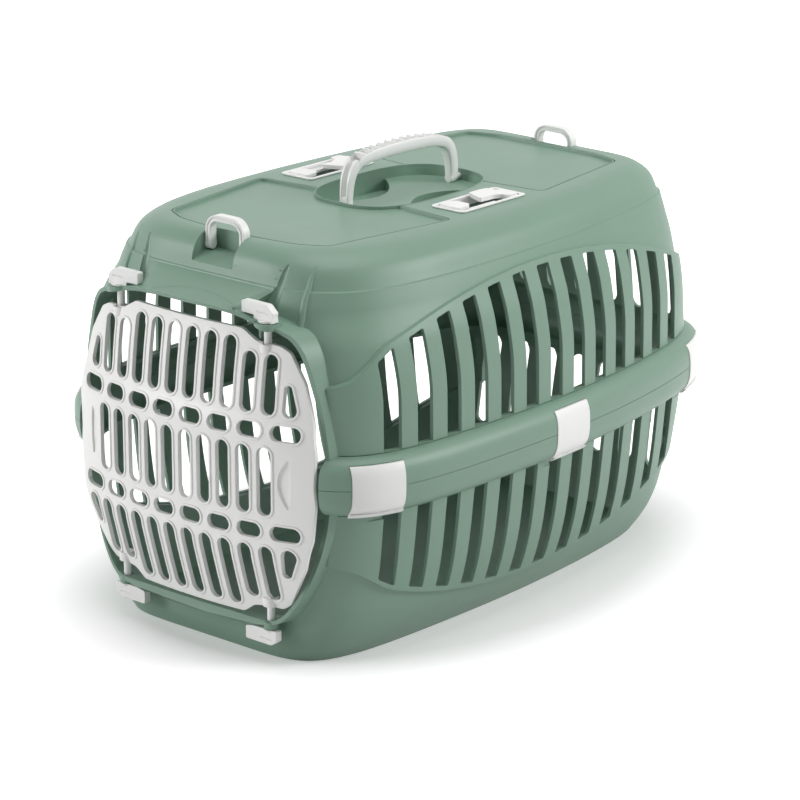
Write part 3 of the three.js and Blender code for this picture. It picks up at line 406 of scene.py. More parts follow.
def tub_body(inset, seam):
    height = shell().rim_height
    wall = wall_rings(TUB_WALL, 0, height, -inset)
    wall = wall[wall[:, 0, 2] < TUB_WALL_END * height]
    wall[..., 2] = inset + wall[..., 2] * (height - inset) / height
    return loft(np.concatenate([wall, rim_half(-1, inset, seam)[::-1]]))


# Slotted side panels

PROUD_MARGIN = 4.0
PROUD_FRONT, PROUD_REAR = -204.0, 234.0
SIDE_SLOTS, REAR_SLOTS = 13, 7
SIDE_SLOT_MIDDLE, SIDE_SLOT_CORNER = 11.0, 1.6
REAR_SLOT_FOOT, REAR_SLOT_TOP, REAR_SLOT_EDGE, REAR_SLOT_START = 46.0, 236.0, 3.0, 150.0
ARCH_MIDDLE, ARCH_REACH, ARCH_FALL, ARCH_EASE = 9.0, 177.0, 31.0, 36.0
UPPER_ARCH, UPPER_DIP, UPPER_DIP_START = 272.8, 12.5, 160.0
LOWER_ARCH, LOWER_LIFT, LOWER_LIFT_START = 34.7, 8.0, 158.0
SLOT_FOOT_GAP = 0.5


def upper_arch(y):
    """A parabola that falls from the middle, with a smooth dip towards the hood."""
    y = np.asarray(y, float)
    fall = ARCH_FALL * ((y - ARCH_MIDDLE) / ARCH_REACH) ** 2
    return UPPER_ARCH - fall - UPPER_DIP * smoothstep((-y - UPPER_DIP_START) / ARCH_EASE)


def lower_arch(y):
    """A parabola that rises from the middle, with a smooth lift towards the hood."""
    y = np.asarray(y, float)
    rise = ARCH_FALL * ((y - ARCH_MIDDLE) / ARCH_REACH) ** 2
    return LOWER_ARCH + rise + LOWER_LIFT * smoothstep((-y - LOWER_LIFT_START) / ARCH_EASE)


def arched_panel(arch, rise, foot, end_inset):
    y = np.linspace(PROUD_FRONT + end_inset, PROUD_REAR - end_inset, 72)
    outline = np.concatenate([np.column_stack([y, arch(y) + rise]), [(y[-1], foot), (y[0], foot)]])
    return along(outline, "x", -FAR, FAR)


def side_panel(table, low, high, arch, sign):
    own = shell()
    foot = own.rim_height + sign * own.rim_half_height
    skin = carve(loft(wall_rings(table, low, high, own.panel_step)),
                 (KEEP, arched_panel(arch, sign * PROUD_MARGIN, foot - sign * own.rim_half_height / 2, 0)))
    hollow = carve(loft(wall_rings(table, low, high, own.panel_step - own.wall)),
                   (KEEP, arched_panel(arch, sign * (PROUD_MARGIN - own.wall), foot, own.wall * 2)))
    return skin, hollow


def side_slots(arch, foot):
    """Upright slots from the foot to the arch, with small round corners there."""
    own = shell()
    half = own.slot_width / 2
    bend = np.linspace(0, TURN / 4, 7)
    corner = np.column_stack([half - SIDE_SLOT_CORNER * (1 - np.cos(bend)), -SIDE_SLOT_CORNER * (1 - np.sin(bend))])
    away = np.sign(arch(ARCH_MIDDLE) - foot)
    cutters = []
    for i in range(SIDE_SLOTS):
        y = SIDE_SLOT_MIDDLE + own.slot_pitch * (i - (SIDE_SLOTS - 1) / 2)
        top = np.concatenate([corner, mirrored(corner)]) + (y, 0)
        top[:, 1] = arch(top[:, 0]) + away * top[:, 1]
        outline = np.concatenate([[(y - half, foot), (y + half, foot)], top])
        for low, high in ((own.half_width / 2, FAR / 2), (-FAR / 2, -own.half_width / 2)):
            cutters.append(along(outline, "x", low, high))
    return together(cutters)


def rear_slots():
    """Upright slots with round ends in the rear wall, above and below the rim band."""
    own = shell()
    half, edge = own.slot_width / 2, own.rim_half_height + REAR_SLOT_EDGE
    slots = []
    for low, high in ((REAR_SLOT_FOOT, own.rim_height - edge), (own.rim_height + edge, REAR_SLOT_TOP)):
        for i in range(REAR_SLOTS):
            x = own.slot_pitch * (i - (REAR_SLOTS - 1) / 2)
            slots.append(along(slot_outline((x, low + half), half, (x, high - half), half), "y", REAR_SLOT_START, FAR))
    return together(slots)


# Door opening and hood

HOOD_FRONT, HOOD_BACK = 231.0, 184.0
HOOD_SIDE_SWEEP, HOOD_HALF_WIDTH = 22.0, 123.2
HOOD_LIP, HOOD_FLARE, HOOD_RINGS = 3.2, 0.06, 7
OPENING_AHEAD = 20.0
OPENING_BACK, OPENING_TOP, OPENING_BOTTOM = 188.0, 267.0, 34.5
OPENING = [
    (0, 1.003), (0.32, 1), (0.423, 0.994), (0.529, 0.983), (0.666, 0.967), (0.758, 0.953),
    (0.807, 0.935), (0.86, 0.894), (0.905, 0.818), (0.956, 0.723), (0.989, 0.611), (1, 0.54),
    (1, 0.45), (0.987, 0.37), (0.968, 0.31), (0.93, 0.231), (0.852, 0.135), (0.79, 0.077),
    (0.71, 0.024), (0.625, 0.001), (0.31, 0.001), (0, 0),
]


def opening_outline():
    right = np.array(OPENING, float) * (HOOD_HALF_WIDTH, OPENING_TOP - OPENING_BOTTOM) + (0, OPENING_BOTTOM)
    return eased(np.concatenate([right, mirrored(right[1:-1])]))


def hood_edge(x):
    return -HOOD_FRONT + HOOD_SIDE_SWEEP * (x / HOOD_HALF_WIDTH) ** 2


def hood_plug():
    """From its lip, which sweeps back with the square of x, the hood flares sideways to the front wall."""
    lip = grown(opening_outline(), HOOD_LIP)
    front = np.column_stack([lip[:, 0], hood_edge(lip[:, 0]), lip[:, 1]])
    rear = np.column_stack([lip[:, 0] * (1 + HOOD_FLARE), np.full(len(lip), -HOOD_BACK), lip[:, 1]])
    share = np.linspace(0, 1, HOOD_RINGS)[:, None, None]
    return loft(front + (rear - front) * share)


def opening_cut():
    return along(opening_outline(), "y", -HOOD_FRONT - OPENING_AHEAD, -OPENING_BACK)


def half_space(upper):
    seam = shell().rim_height + (SEAM_GAP / 2 if upper else -SEAM_GAP / 2)
    return block((-FAR, FAR), (-FAR, FAR), (seam, FAR * 2) if upper else (-FAR, seam))


# Rim clips

# Where each right clip sits on the band, as x and y, and the way that the band faces there
CLIPS = {
    "front": ((155.17, -185.5), (0.95214, -0.30566)),
    "middle": ((171.371, 17.5), (0.99985, 0.01723)),
    "rear": ((133.686, 222.0), (0.92425, 0.38178)),
}
CLIP_SINK, CLIP_PLATE = 1.8, 2.4
CLIP_TOP, CLIP_BOTTOM, CLIP_WRAP = 17.6, 22.4, 12.8
CLIP_LIP_HEIGHT, CLIP_LIP_REACH = 3.2, 1.6
CLIP_BEYOND, CLIP_SEAT_BELOW = 20.0, 5.0
FIT = 0.3


def rim_band(outward, tall):
    own = shell()
    lower = rim_rings(-1, own.rim_bulge + outward, tall, 0, 0)[::-1]
    upper = rim_rings(1, own.rim_bulge + outward, tall, 0, 0)[1:]
    return loft(np.concatenate([lower, upper]))


def clip_box(place, side, half_width, inward, outward, low, high):
    """A box square to the band at a clip's place, from inward to outward of it and from low to high of the seam."""
    origin, out = np.array(CLIPS[place]) * (side, 1)
    run = np.array([-out[1], out[0]])
    corners = [origin + run * a + out * b for a, b in
               ((-half_width, -inward), (half_width, -inward), (half_width, outward), (-half_width, outward))]
    rim = shell().rim_height
    return along(corners, "z", rim + low, rim + high)


def clip_seats():
    tall = shell().rim_half_height
    half, sunk = trim().clip_width / 2 + FIT, CLIP_SINK + FIT
    boxes = together([clip_box(place, side, half, CLIP_WRAP + FIT, CLIP_BEYOND, -tall - CLIP_SEAT_BELOW, CLIP_TOP + FIT)
                      for place in CLIPS for side in SIDES.values()])
    return carve(boxes, (CUT, rim_band(-sunk, tall - sunk)))


# Finishing

SHARP_TURN = math.radians(32)
MERGE_DISTANCE = 0.00001


def sharpen(mesh):
    """Smooth shading, with the edges between faces that turn by more than the angle kept sharp."""
    form = bmesh.new()
    form.from_mesh(mesh)
    bmesh.ops.remove_doubles(form, verts=form.verts, dist=MERGE_DISTANCE)
    for edge in form.edges:
        edge.smooth = len(edge.link_faces) == 2 and edge.calc_face_angle(0) < SHARP_TURN
    for face in form.faces:
        face.smooth = True
    form.to_mesh(mesh)
    form.free()


def present(name, mesh, body, plastic, *nodes):
    """Puts a form in the scene in metres, on its body, in place of the nodes that it stands for."""
    material, slot = plastic
    mesh.transform(Matrix.Scale(MILLIMETRE, 4) @ Matrix.Translation((0, MIDDLE_Y, 0)))
    sharpen(mesh)
    mesh.name = name
    mesh.materials.clear()
    mesh.materials.append(material)
    piece = placed(name, mesh)
    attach(piece, body)
    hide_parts(*nodes)


# Tub

PINS = (-75.0, 75.0)
PIN_Y = -217.5
PIN_BORE = 3.8
PAST_SEAM = -5.0


def pin_columns(radius, low, high):
    """An upright cylinder on the axis of each pin."""
    return together([along(circle((x, PIN_Y), radius), "z", low, high) for x in PINS])


def tub_shape():
    own = shell()
    skin, hollow = side_panel(TUB_WALL, 0, own.rim_height, lower_arch, -1)
    boss_radius, boss_foot, bore_low, bore_high = 5.6, 29.0, 8.0, 55.0
    hood = carve(hood_plug(), (KEEP, half_space(False)))
    return carve(
        tub_body(0, SEAM_GAP / 2), (JOIN, skin), (JOIN, hood),
        (JOIN, pin_columns(boss_radius, boss_foot, OPENING_BOTTOM)), (CUT, tub_body(own.wall, PAST_SEAM)),
        (CUT, hollow), (CUT, opening_cut()), (CUT, pin_columns(PIN_BORE, bore_low, bore_high)),
        (CUT, side_slots(lower_arch, own.rim_height - own.rim_half_height - SLOT_FOOT_GAP)), (CUT, clip_seats()),
        (CUT, rear_slots()))


# Roof

PANEL_DEPTH, PANEL_CORNER, PANEL_DRAFT = 2.2, 5.0, 0.5
GROOVE_WIDTH, GROOVE_DEPTH, GROOVE_OFFSET = 1.1, 1.1, 1.2
ROOF_PANELS = (
    [(-79, -157), (-58, -168), (-26, -172), (26, -172), (58, -168), (79, -157), (96, -42), (0, -32), (-96, -42)],
    [(-76, 184), (-50, 192), (50, 192), (76, 184), (93, 72), (0, 62), (-93, 72)],
)
RECESS_MIDDLE, RECESS_HALF_LENGTH, RECESS_HALF_WIDTH, RECESS_SQUARENESS = 12.5, 70.0, 46.5, 2.9
PLATEAU_DEPTH, WELL_DEPTH, PLATEAU_WAIST, WELL_HALF_LENGTH, WELL_SHIFT = 8.5, 17.5, 11.0, 50.0, 15.0
HANDLE_AXIS, HANDLE_FRONT, HANDLE_REAR = 304.3, -49.0, 73.5
HANDLE_PIN, HANDLE_PIN_LENGTH = 2.6, 3.4
RINGS = {"front": (-180.0, -1), "rear": (204.0, 1)}
RING_AXIS, RING_PIN, RING_PIN_LENGTH = 299.0, 2.2, 2.4
POCKET_HALF_WIDTH = 20.4
# Distance from the ring's axis and height: the floor, the ramp down to a lower floor, and its end
POCKET = [(-7, 294.3), (4, 294.3), (24, 286.4), (37, 286.4)]
BACKING = 3.0
OVERRUN = 2.0
HOLDER_X, HOLDER_Y, HOLDER_HALF_WIDTH, HOLDER_HALF_LENGTH = 77.5, 15.0, 16.5, 38.0
HOLDER_CORNER, HOLDER_RIM, HOLDER_HOLE = 4.0, 1.5, 10.0


def softened(corners, radius, steps=6):
    """A polygon whose corners are eased by quadratic curves that start one radius before each corner."""
    corners = np.asarray(corners, float)
    before, after = np.roll(corners, 1, axis=0) - corners, np.roll(corners, -1, axis=0) - corners
    start = corners + before / np.linalg.norm(before, axis=1, keepdims=True) * radius
    end = corners + after / np.linalg.norm(after, axis=1, keepdims=True) * radius
    t = np.linspace(0, 1, steps)[None, :, None]
    return (start[:, None] * (1 - t) ** 2 + 2 * corners[:, None] * t * (1 - t) + end[:, None] * t ** 2).reshape(-1, 2)


def tapered(outline, low, high, draft):
    """An outline carried upwards that grows by the draft at its top."""
    rings = [np.column_stack([grown(outline, step), np.full(len(outline), z)]) for step, z in ((0, low), (draft, high))]
    return loft(rings)


def panel_groove(panel, top):
    """A fine groove in the roof just outside the panel."""
    outline = softened(panel, PANEL_CORNER)
    floor = top - GROOVE_DEPTH
    return carve(along(grown(outline, GROOVE_OFFSET + GROOVE_WIDTH), "z", floor, top + 1),
                 (CUT, along(grown(outline, GROOVE_OFFSET), "z", floor - OVERRUN, top + OVERRUN)))


def recess_outline(grow=0.0, grow_ends=None):
    """A superellipse round the handle."""
    ends = grow if grow_ends is None else grow_ends
    c, s = circle((0, 0), 1, 96).T
    power = 2 / RECESS_SQUARENESS
    return np.column_stack([
        (RECESS_HALF_WIDTH + grow) * np.sign(c) * np.abs(c) ** power,
        RECESS_MIDDLE + (RECESS_HALF_LENGTH + ends) * np.sign(s) * np.abs(s) ** power])


def handle_wells(top):
    """The two wells beside the plateau, one nearer each end. Their inner edge is a parabola."""
    share = np.linspace(-1, 1, 41)
    beyond = RECESS_HALF_WIDTH * 1.5
    wells = []
    for side in SIDES.values():
        middle = RECESS_MIDDLE + side * WELL_SHIFT
        inner = np.column_stack([side * (PLATEAU_WAIST + (RECESS_HALF_WIDTH + 1 - PLATEAU_WAIST) * share ** 2),
                                 middle + WELL_HALF_LENGTH * share])
        edge = [(side * beyond, middle + WELL_HALF_LENGTH), (side * beyond, middle - WELL_HALF_LENGTH)]
        wells.append(along(np.concatenate([inner, edge]), "z", top - WELL_DEPTH, top - PLATEAU_DEPTH + OVERRUN))
    return carve(together(wells), (KEEP, along(recess_outline(), "z", top - WELL_DEPTH - 1, top)))


def pocket(ring_y, facing, sink, half_width):
    above = shell().roof_height + FAR
    floor = [(offset, z - sink) for offset, z in POCKET]
    profile = [(POCKET[0][0] - sink, above), (POCKET[0][0] - sink, floor[0][1]), *floor[1:], (POCKET[-1][0], above)]
    return along([(ring_y + facing * offset, z) for offset, z in profile], "x", -half_width, half_width)


def holder_outline(side, grow):
    return rounded_box(HOLDER_HALF_WIDTH + grow, HOLDER_HALF_LENGTH + grow, HOLDER_CORNER) + (side * HOLDER_X, HOLDER_Y)


def wall_point(x, z, outward=0.0):
    """The point of the front wall at a given x and height."""
    own = shell()
    share = (z - own.rim_height) / (own.roof_height - own.rim_height)
    table = CANOPY_WALL if share < CANOPY_WALL[-1][0] else CROWN_WALL
    side, front, rear, corner = monotone(table, [share]).T
    ring = plan_rings(own.half_width * side, own.front_reach * front, own.rear_reach * rear, outward, corner)[0]
    ring = ring[ring[:, 1] < -100]
    ring = ring[np.argsort(ring[:, 0])]
    return np.array([x, np.interp(x, ring[:, 0], ring[:, 1]), z])


def tapered_bar(points, radii, across="z", count=16):
    """A round bar through points, with a radius at each. Its rings lie square to the given axis."""
    points = np.asarray(points, float)
    ring = np.insert(circle((0, 0), 1, count), "xyz".index(across), 0, axis=1)
    return loft(points[:, None, :] + np.asarray(radii)[:, None, None] * ring)


def wall_bars(top, drop, x, spread, rise, swell, radii):
    """A bar down the front wall at each side. It drops from its top, spreads from x and stands out by its rise,
    which swells on the way down, and its radii follow a function of the way."""
    share = np.linspace(0, 1, 7)
    return together([
        tapered_bar([wall_point(side * (x + spread * t), top - drop * t, rise + swell * t) for t in share],
                    radii(share)) for side in SIDES.values()])


def front_valleys(grow=0.0):
    """A valley over each latch that widens and deepens downwards."""
    return wall_bars(top=300, drop=36, x=70.5, spread=-5.5, rise=1.2, swell=1.6,
                     radii=lambda share: 1.8 + 5.4 * share + grow)


def front_ribs():
    """A thin upright rib outside each latch, from the crown down to the hood."""
    return wall_bars(top=301, drop=42, x=88.0, spread=3.0, rise=-0.6, swell=0,
                     radii=lambda share: 1.2 + 1.9 * np.sin(share * TURN / 4))


FAIRING_FOOT_HALF, FAIRING_TOP_HALF, FAIRING_SINK = 54.0, 66.0, 8.0
FAIRING_BACK, FAIRING_END_BACK, FAIRING_EASE, FAIRING_DEEP = 1.2, 10.0, 5.0, 2.6
LIP_TOP, LIP_TOP_HALF = 230.0, 90.0


def front_fairing():
    """Between the latches the wall slopes from the ledge straight down to the lip of the hood."""
    crease = shell().rim_height + CANOPY_WALL[-1][0] * (shell().roof_height - shell().rim_height)
    lip = grown(opening_outline(), HOOD_LIP)
    lip = lip[(lip[:, 1] > LIP_TOP) & (np.abs(lip[:, 0]) < LIP_TOP_HALF)]
    lip = lip[np.argsort(lip[:, 0])]
    sections = []
    for share in np.linspace(-1, 1, 41):
        low, high = FAIRING_FOOT_HALF * share, FAIRING_TOP_HALF * share
        edge = np.interp(low, lip[:, 0], lip[:, 1])
        wall_y = wall_point(high, crease)[1]
        end = 1 - smoothstep((1 - abs(share)) * FAIRING_EASE)
        front = hood_edge(low) + FAIRING_BACK + FAIRING_END_BACK * end
        sections.append([
            (high, wall_y + FAIRING_SINK, crease - 0.4), (high, wall_y + 0.2, crease - 0.4),
            (low + 0.3 * (high - low), (wall_y + front) / 2 - 1.2, (crease + edge) / 2),
            (low, front, edge - 0.3), (low, front + 1, edge - FAIRING_DEEP),
            (low, -OPENING_BACK, edge - FAIRING_DEEP)])
    return loft(sections)


LIP_ARCH_MIDDLE, LIP_ARCH_HALF, LIP_ARCH_FOOT, LIP_ARCH_RISE = 7.0, 41.0, 0.8, 4.2
LIP_ARCH_BACK, LIP_ARCH_SLOPE, LIP_ARCH_THIN, LIP_ARCH_SWELL = 2.2, 2.3, 0.5, 0.9


def lip_arch():
    """A low moulded arch above the middle of the lip, as a thin round bead along a parabola."""
    share = np.linspace(-1, 1, 21)
    x = LIP_ARCH_MIDDLE + LIP_ARCH_HALF * share
    lift = LIP_ARCH_FOOT + LIP_ARCH_RISE * (1 - share ** 2)
    points = np.column_stack([x, hood_edge(x) + LIP_ARCH_BACK + LIP_ARCH_SLOPE * lift, OPENING_TOP + HOOD_LIP + lift])
    return tapered_bar(points, LIP_ARCH_THIN + LIP_ARCH_SWELL * (1 - share ** 4), "x", 12)


def roof_backing(top):
    """What stands behind the recess, the panels, the pockets and the valleys, so that the wall goes on there."""
    depth = top - shell().wall - PANEL_DEPTH
    web_x, web_y, web_foot = (-67.5, 67.5), (-218, -207), 250.6
    return carve(along(recess_outline(BACKING, 5), "z", top - WELL_DEPTH - BACKING, top),
                 *[(JOIN, along(grown(softened(panel, PANEL_CORNER), BACKING), "z", depth, top))
                   for panel in ROOF_PANELS],
                 *[(JOIN, pocket(y, facing, BACKING, POCKET_HALF_WIDTH + BACKING)) for y, facing in RINGS.values()],
                 (JOIN, together([block((x - 1, x + 1), web_y, (web_foot, OPENING_TOP)) for x in web_x])),
                 (JOIN, front_valleys(2.4)),
                 (KEEP, carve(canopy_body(0, SEAM_GAP / 2), (JOIN, hood_plug()))))


def canopy_sockets():
    """The holes that the pins of the strap rings and of the handle turn in."""
    reach = POCKET_HALF_WIDTH + RING_PIN_LENGTH + FIT
    half = RECESS_HALF_LENGTH + HANDLE_PIN_LENGTH + FIT
    return [*[rod((-reach, y, RING_AXIS), (reach, y, RING_AXIS), RING_PIN + FIT) for y, _ in RINGS.values()],
            *[rod((0, y, HANDLE_AXIS), (0, RECESS_MIDDLE + way * half, HANDLE_AXIS), HANDLE_PIN + FIT)
              for y, way in ((HANDLE_FRONT, -1), (HANDLE_REAR, 1))]]


def canopy_shape():
    own = shell()
    top = own.roof_height
    skin, hollow = side_panel(CANOPY_WALL, own.rim_height, top, upper_arch, 1)
    boss_radius, boss_low, boss_high, bore_low, bore_high = 10.2, 259.7, 264.2, 247, 287
    bead_width, bead_height, recess_draft = 1.3, 0.35, 0.8
    hood = carve(hood_plug(), (KEEP, half_space(True)))
    bead = carve(along(recess_outline(bead_width), "z", top - OVERRUN, top + bead_height),
                 (CUT, along(recess_outline(), "z", top - OVERRUN * 1.5, top + OVERRUN)))
    return carve(
        canopy_body(0, SEAM_GAP / 2), (JOIN, skin), (JOIN, front_ribs()), (JOIN, hood), (JOIN, front_fairing()),
        (JOIN, lip_arch()), (JOIN, pin_columns(boss_radius, boss_low, boss_high)),
        (CUT, canopy_body(own.wall, PAST_SEAM)), (CUT, hollow), (CUT, opening_cut()),
        (JOIN, roof_backing(top)), (CUT, front_valleys()),
        *[(CUT, tapered(softened(panel, PANEL_CORNER), top - PANEL_DEPTH, top + OVERRUN, PANEL_DRAFT))
          for panel in ROOF_PANELS],
        (CUT, together([panel_groove(panel, top) for panel in ROOF_PANELS])), (JOIN, bead),
        (CUT, tapered(recess_outline(), top - PLATEAU_DEPTH, top + OVERRUN, recess_draft)), (CUT, handle_wells(top)),
        *[(CUT, pocket(y, facing, 0, POCKET_HALF_WIDTH)) for y, facing in RINGS.values()],
        *[(CUT, socket) for socket in canopy_sockets()],
        *[(CUT, along(holder_outline(side, FIT - HOLDER_RIM), "z", top - HOLDER_HOLE, top + OVERRUN))
          for side in SIDES.values()],
        (CUT, pin_columns(PIN_BORE, bore_low, bore_high)), (CUT, clip_seats()),
        (CUT, side_slots(upper_arch, own.rim_height + own.rim_half_height + SLOT_FOOT_GAP)), (CUT, rear_slots()))


# Door

DOOR_FACE, DOOR_LEAN, DOOR_THICKNESS = 238.6, 15.0, 3.0
DOOR_LEAN_SHARES = [
    (0, 0.97), (0.045, 0.85), (0.075, 0.72), (0.17, 0.33), (0.25, 0.05), (0.28, 0),
    (0.62, 0), (0.675, 0.08), (0.73, 0.28), (0.84, 0.48), (0.93, 0.68), (1, 0.86),
]
DOOR_OUTLINE = [
    (0.447, 1), (0.497, 0.985), (0.563, 0.965), (0.728, 0.96), (0.795, 0.942), (0.9, 0.848),
    (0.973, 0.71), (1, 0.612), (0.992, 0.565), (0.987, 0.5), (0.997, 0.44), (0.977, 0.313),
    (0.92, 0.207), (0.78, 0.064), (0.722, 0.042), (0.604, 0.044), (0.509, 0.036), (0.43, 0.004),
]
DOOR_SLOT_PITCH = 18.2
SOCKETS = ((241.6, 248.4), (46.8, 53.6))
RIM_BEAD, RIM_BEAD_HEIGHT = 1.7, 0.7
DOOR_CORNER, DOOR_SQUARE_SHARE = 2.2, 0.67
DOOR_REAR = -180.0
# The long rows, for the slots in the middle and the shorter ones beside them
LONG_ROWS = [((197.1, 250.7), (197.1, 242.0)), ((121.4, 173.8), (121.4, 173.8)), ((43.4, 97.8), (53.1, 97.8))]
SHORT_ROWS = (185.5, 109.2)
SHORT_PITCH, SHORT_LENGTH = 27.4, 20.4
END_SLOT_MIDDLE, END_SLOT_HALF = 98.2, 12.0
# The two slots near the edge that taper: low end, its radius, high end, its radius
EDGE_SLOTS = [((99.3, 203), 5.6, (97.3, 218), 3.2), ((97, 78), 3.8, (100.6, 91.6), 6)]
HOLLOW_MIDDLE, HOLLOW_HALF, HOLLOW_DEPTH = 147.5, 18.5, 1.7
# The x of each long side of a hollow at its middle, and how much it bends towards the ends
HOLLOW_SIDES = ((92.5, 7.5), (102.5, -1.5))


def trim():
    return bpy.context.scene.carrier_trim


def door_face(x, z):
    """The face falls back with the square and fourth power of x, and leans back by a smooth table of the height."""
    own = trim()
    across = (x / own.door_half_width) ** 2
    share = (z - own.door_bottom) / (own.door_top - own.door_bottom)
    lean = monotone(DOOR_LEAN_SHARES, np.ravel(share))[:, 0].reshape(np.shape(share))
    return -DOOR_FACE + own.door_dome * (
        DOOR_SQUARE_SHARE * across + (1 - DOOR_SQUARE_SHARE) * across ** 2) + DOOR_LEAN * lean


def door_slab(front, rear):
    """A closed slab between two copies of the door's face, one ring for each x."""
    own = trim()
    x, z = np.meshgrid(np.linspace(-own.door_half_width - 4, own.door_half_width + 4, 100),
                       np.linspace(own.door_bottom - 3, own.door_top + 3, 110), indexing="ij")
    ahead, behind = (np.stack([x, door_face(x, z) + depth, z], axis=-1) for depth in (front, rear))
    return loft(np.concatenate([ahead, behind[:, ::-1]], axis=1))


def door_outline():
    own = trim()
    right = np.array(DOOR_OUTLINE) * (own.door_half_width, own.door_top - own.door_bottom) + (0, own.door_bottom)
    return softened(np.concatenate([right, mirrored(right)]), DOOR_CORNER, 5)


def slot_outline(low, low_radius, high, high_radius, steps=12):
    """Two half rounds of their own radii, joined by straight sides."""
    heading = math.atan2(high[1] - low[1], high[0] - low[0])
    return np.concatenate([arc(high, high_radius, heading - TURN / 4, heading + TURN / 4, steps),
                           arc(low, low_radius, heading + TURN / 4, heading + TURN * 3 / 4, steps)])


def door_slots(grow=0.0):
    """The slots of the door's five rows, each grown by the given distance."""
    r = trim().door_slot_width / 2
    ends = list(EDGE_SLOTS)
    for i in range(5):
        x = DOOR_SLOT_PITCH * (i + 0.5)
        ends += [((x, row[i > 2][0] + r), r, (x, row[i > 2][1] - r), r) for row in LONG_ROWS]
    for z in SHORT_ROWS:
        spans = [(SHORT_PITCH * (i + 0.5), SHORT_LENGTH / 2) for i in range(3)] + [(END_SLOT_MIDDLE, END_SLOT_HALF)]
        ends += [((x - half + r, z), r, (x + half - r, z), r) for x, half in spans]
    right = [slot_outline(low, low_radius + grow, high, high_radius + grow)
             for low, low_radius, high, high_radius in ends]
    return together([along(outline, "y", -FAR, DOOR_REAR) for one in right for outline in (one, mirrored(one))])


def thumb_hollows():
    """A shallow crescent at each side of the door, between an arc and its flatter chord."""
    z = np.linspace(-1, 1, 25)
    inner, outer = (np.column_stack([x + bend * z ** 2, HOLLOW_MIDDLE + HOLLOW_HALF * z]) for x, bend in HOLLOW_SIDES)
    right = np.concatenate([inner, outer[::-1]])
    hollows = together([along(outline, "y", -FAR, DOOR_REAR) for outline in (right, mirrored(right))])
    return carve(door_slab(-DOOR_THICKNESS, HOLLOW_DEPTH), (KEEP, hollows))


def door_shape():
    plate = carve(door_slab(0, DOOR_THICKNESS), (KEEP, along(door_outline(), "y", -FAR, DOOR_REAR)),
                  (CUT, thumb_hollows()))
    beads = carve(door_slab(-RIM_BEAD_HEIGHT, DOOR_THICKNESS / 2), (KEEP, door_slots(RIM_BEAD)))
    joins, cuts = [(JOIN, beads), (CUT, door_slots())], []
    boss, web_half = 6, 3.5
    # The right sockets are open behind, so that the door can swing off its pins.
    for low, high in SOCKETS:
        z = np.linspace(low, high, 5)
        joins.append((JOIN, pin_columns(boss, low, high)))
        for x in PINS:
            face = door_face(np.full(5, x), z) + 1
            web = [[(x - web_half, f, level), (x + web_half, f, level), (x + web_half, PIN_Y, level),
                    (x - web_half, PIN_Y, level)] for f, level in zip(face, z)]
            joins.append((JOIN, loft(web)))
        cuts += [(CUT, pin_columns(PIN_BORE, low - 1, high + 1)),
                 (CUT, block((PINS[1] - PIN_BORE, PINS[1] + PIN_BORE), (PIN_Y, PIN_Y + 7), (low - 1, high + 1)))]
    return carve(plate, *joins, *cuts)


# Latch pins

# The outlines of the thumb plates, as distances from the pin towards the middle and from the plate's foot
TOP_PLATE = [(10, 4.2), (22, 4.2), (22, 13.2), (-2.5, 13.2), (-9, 7.6), (-8.2, 5.2), (-9, 0), (10, 0)]
BOTTOM_PLATE = [(22, 1.5), (22, 11.5), (-4, 11.5), (-8.5, 8), (-8.5, 0), (14, 0)]
PIN_RADIUS, PIN_TIP, COLLAR_HEIGHT, STEM_IN_PLATE = 2.9, 6.0, 1.6, 5.0
# The plate, its direction, its foot, the radius of its collar and the tip of its stem
TOP_PIN = TOP_PLATE, 1, 264.7, 7.2, SOCKETS[0][1] - PIN_TIP
BOTTOM_PIN = BOTTOM_PLATE, -1, 28.5, 5.5, SOCKETS[1][0] + PIN_TIP
PLATE_MIDDLE, PLATE_HALF, PLATE_CORNER = PIN_Y - 1.2, 3.0, 1.4
# Two corners of the slit in the plate's face, and how far it reaches before and behind that face
SLIT, SLIT_AHEAD, SLIT_DEPTH = ((-4, 6.8), (7, 7.7)), 0.6, 0.5


def latch_pin_shape(side, top):
    """A stepped thumb plate with a slit, on a collar and a round stem."""
    x = side * PINS[1]
    outline, sign, foot, collar, tip = TOP_PIN if top else BOTTOM_PIN

    def spot(inward, away):
        return x - side * inward, foot + sign * away

    face = PLATE_MIDDLE - PLATE_HALF
    plate = along(softened([spot(*corner) for corner in outline], PLATE_CORNER), "y", face, face + 2 * PLATE_HALF)
    slit_x, slit_z = zip(*(spot(*corner) for corner in SLIT))
    slit = block(slit_x, (face - SLIT_AHEAD, face + SLIT_DEPTH), slit_z)
    return carve(plate, (CUT, slit), (JOIN, along(circle((x, PIN_Y), collar), "z", foot, foot + sign * COLLAR_HEIGHT)),
                 (JOIN, rod((x, PIN_Y, tip), (x, PIN_Y, foot + sign * STEM_IN_PLATE), PIN_RADIUS, rounding=0.8)))


def clip_shape(place, side):
    """A plate that wraps the band, with a lip along its lower edge to pull it by."""
    tall, outward = shell().rim_half_height, CLIP_PLATE - CLIP_SINK

    def wrap(grow, high):
        box = clip_box(place, side, trim().clip_width / 2, CLIP_WRAP, CLIP_BEYOND, -CLIP_BOTTOM, high)
        return carve(rim_band(grow, tall + grow), (KEEP, box))

    return carve(wrap(outward, CLIP_TOP), (JOIN, wrap(outward + CLIP_LIP_REACH, CLIP_LIP_HEIGHT - CLIP_BOTTOM)),
                 (CUT, rim_band(-CLIP_SINK, tall - CLIP_SINK)))


# Carrying handle

HANDLE_THICKNESS, HANDLE_FOOT, HANDLE_STEPS = 10.5, 3.8, 6
LEG_WIDTH, LEG_POINTS = 0.56, 40
HANDLE_CELLS, CELLS_START, CELLS_END, CELL_RIB = 12, -41.0, 62.0, 1.3
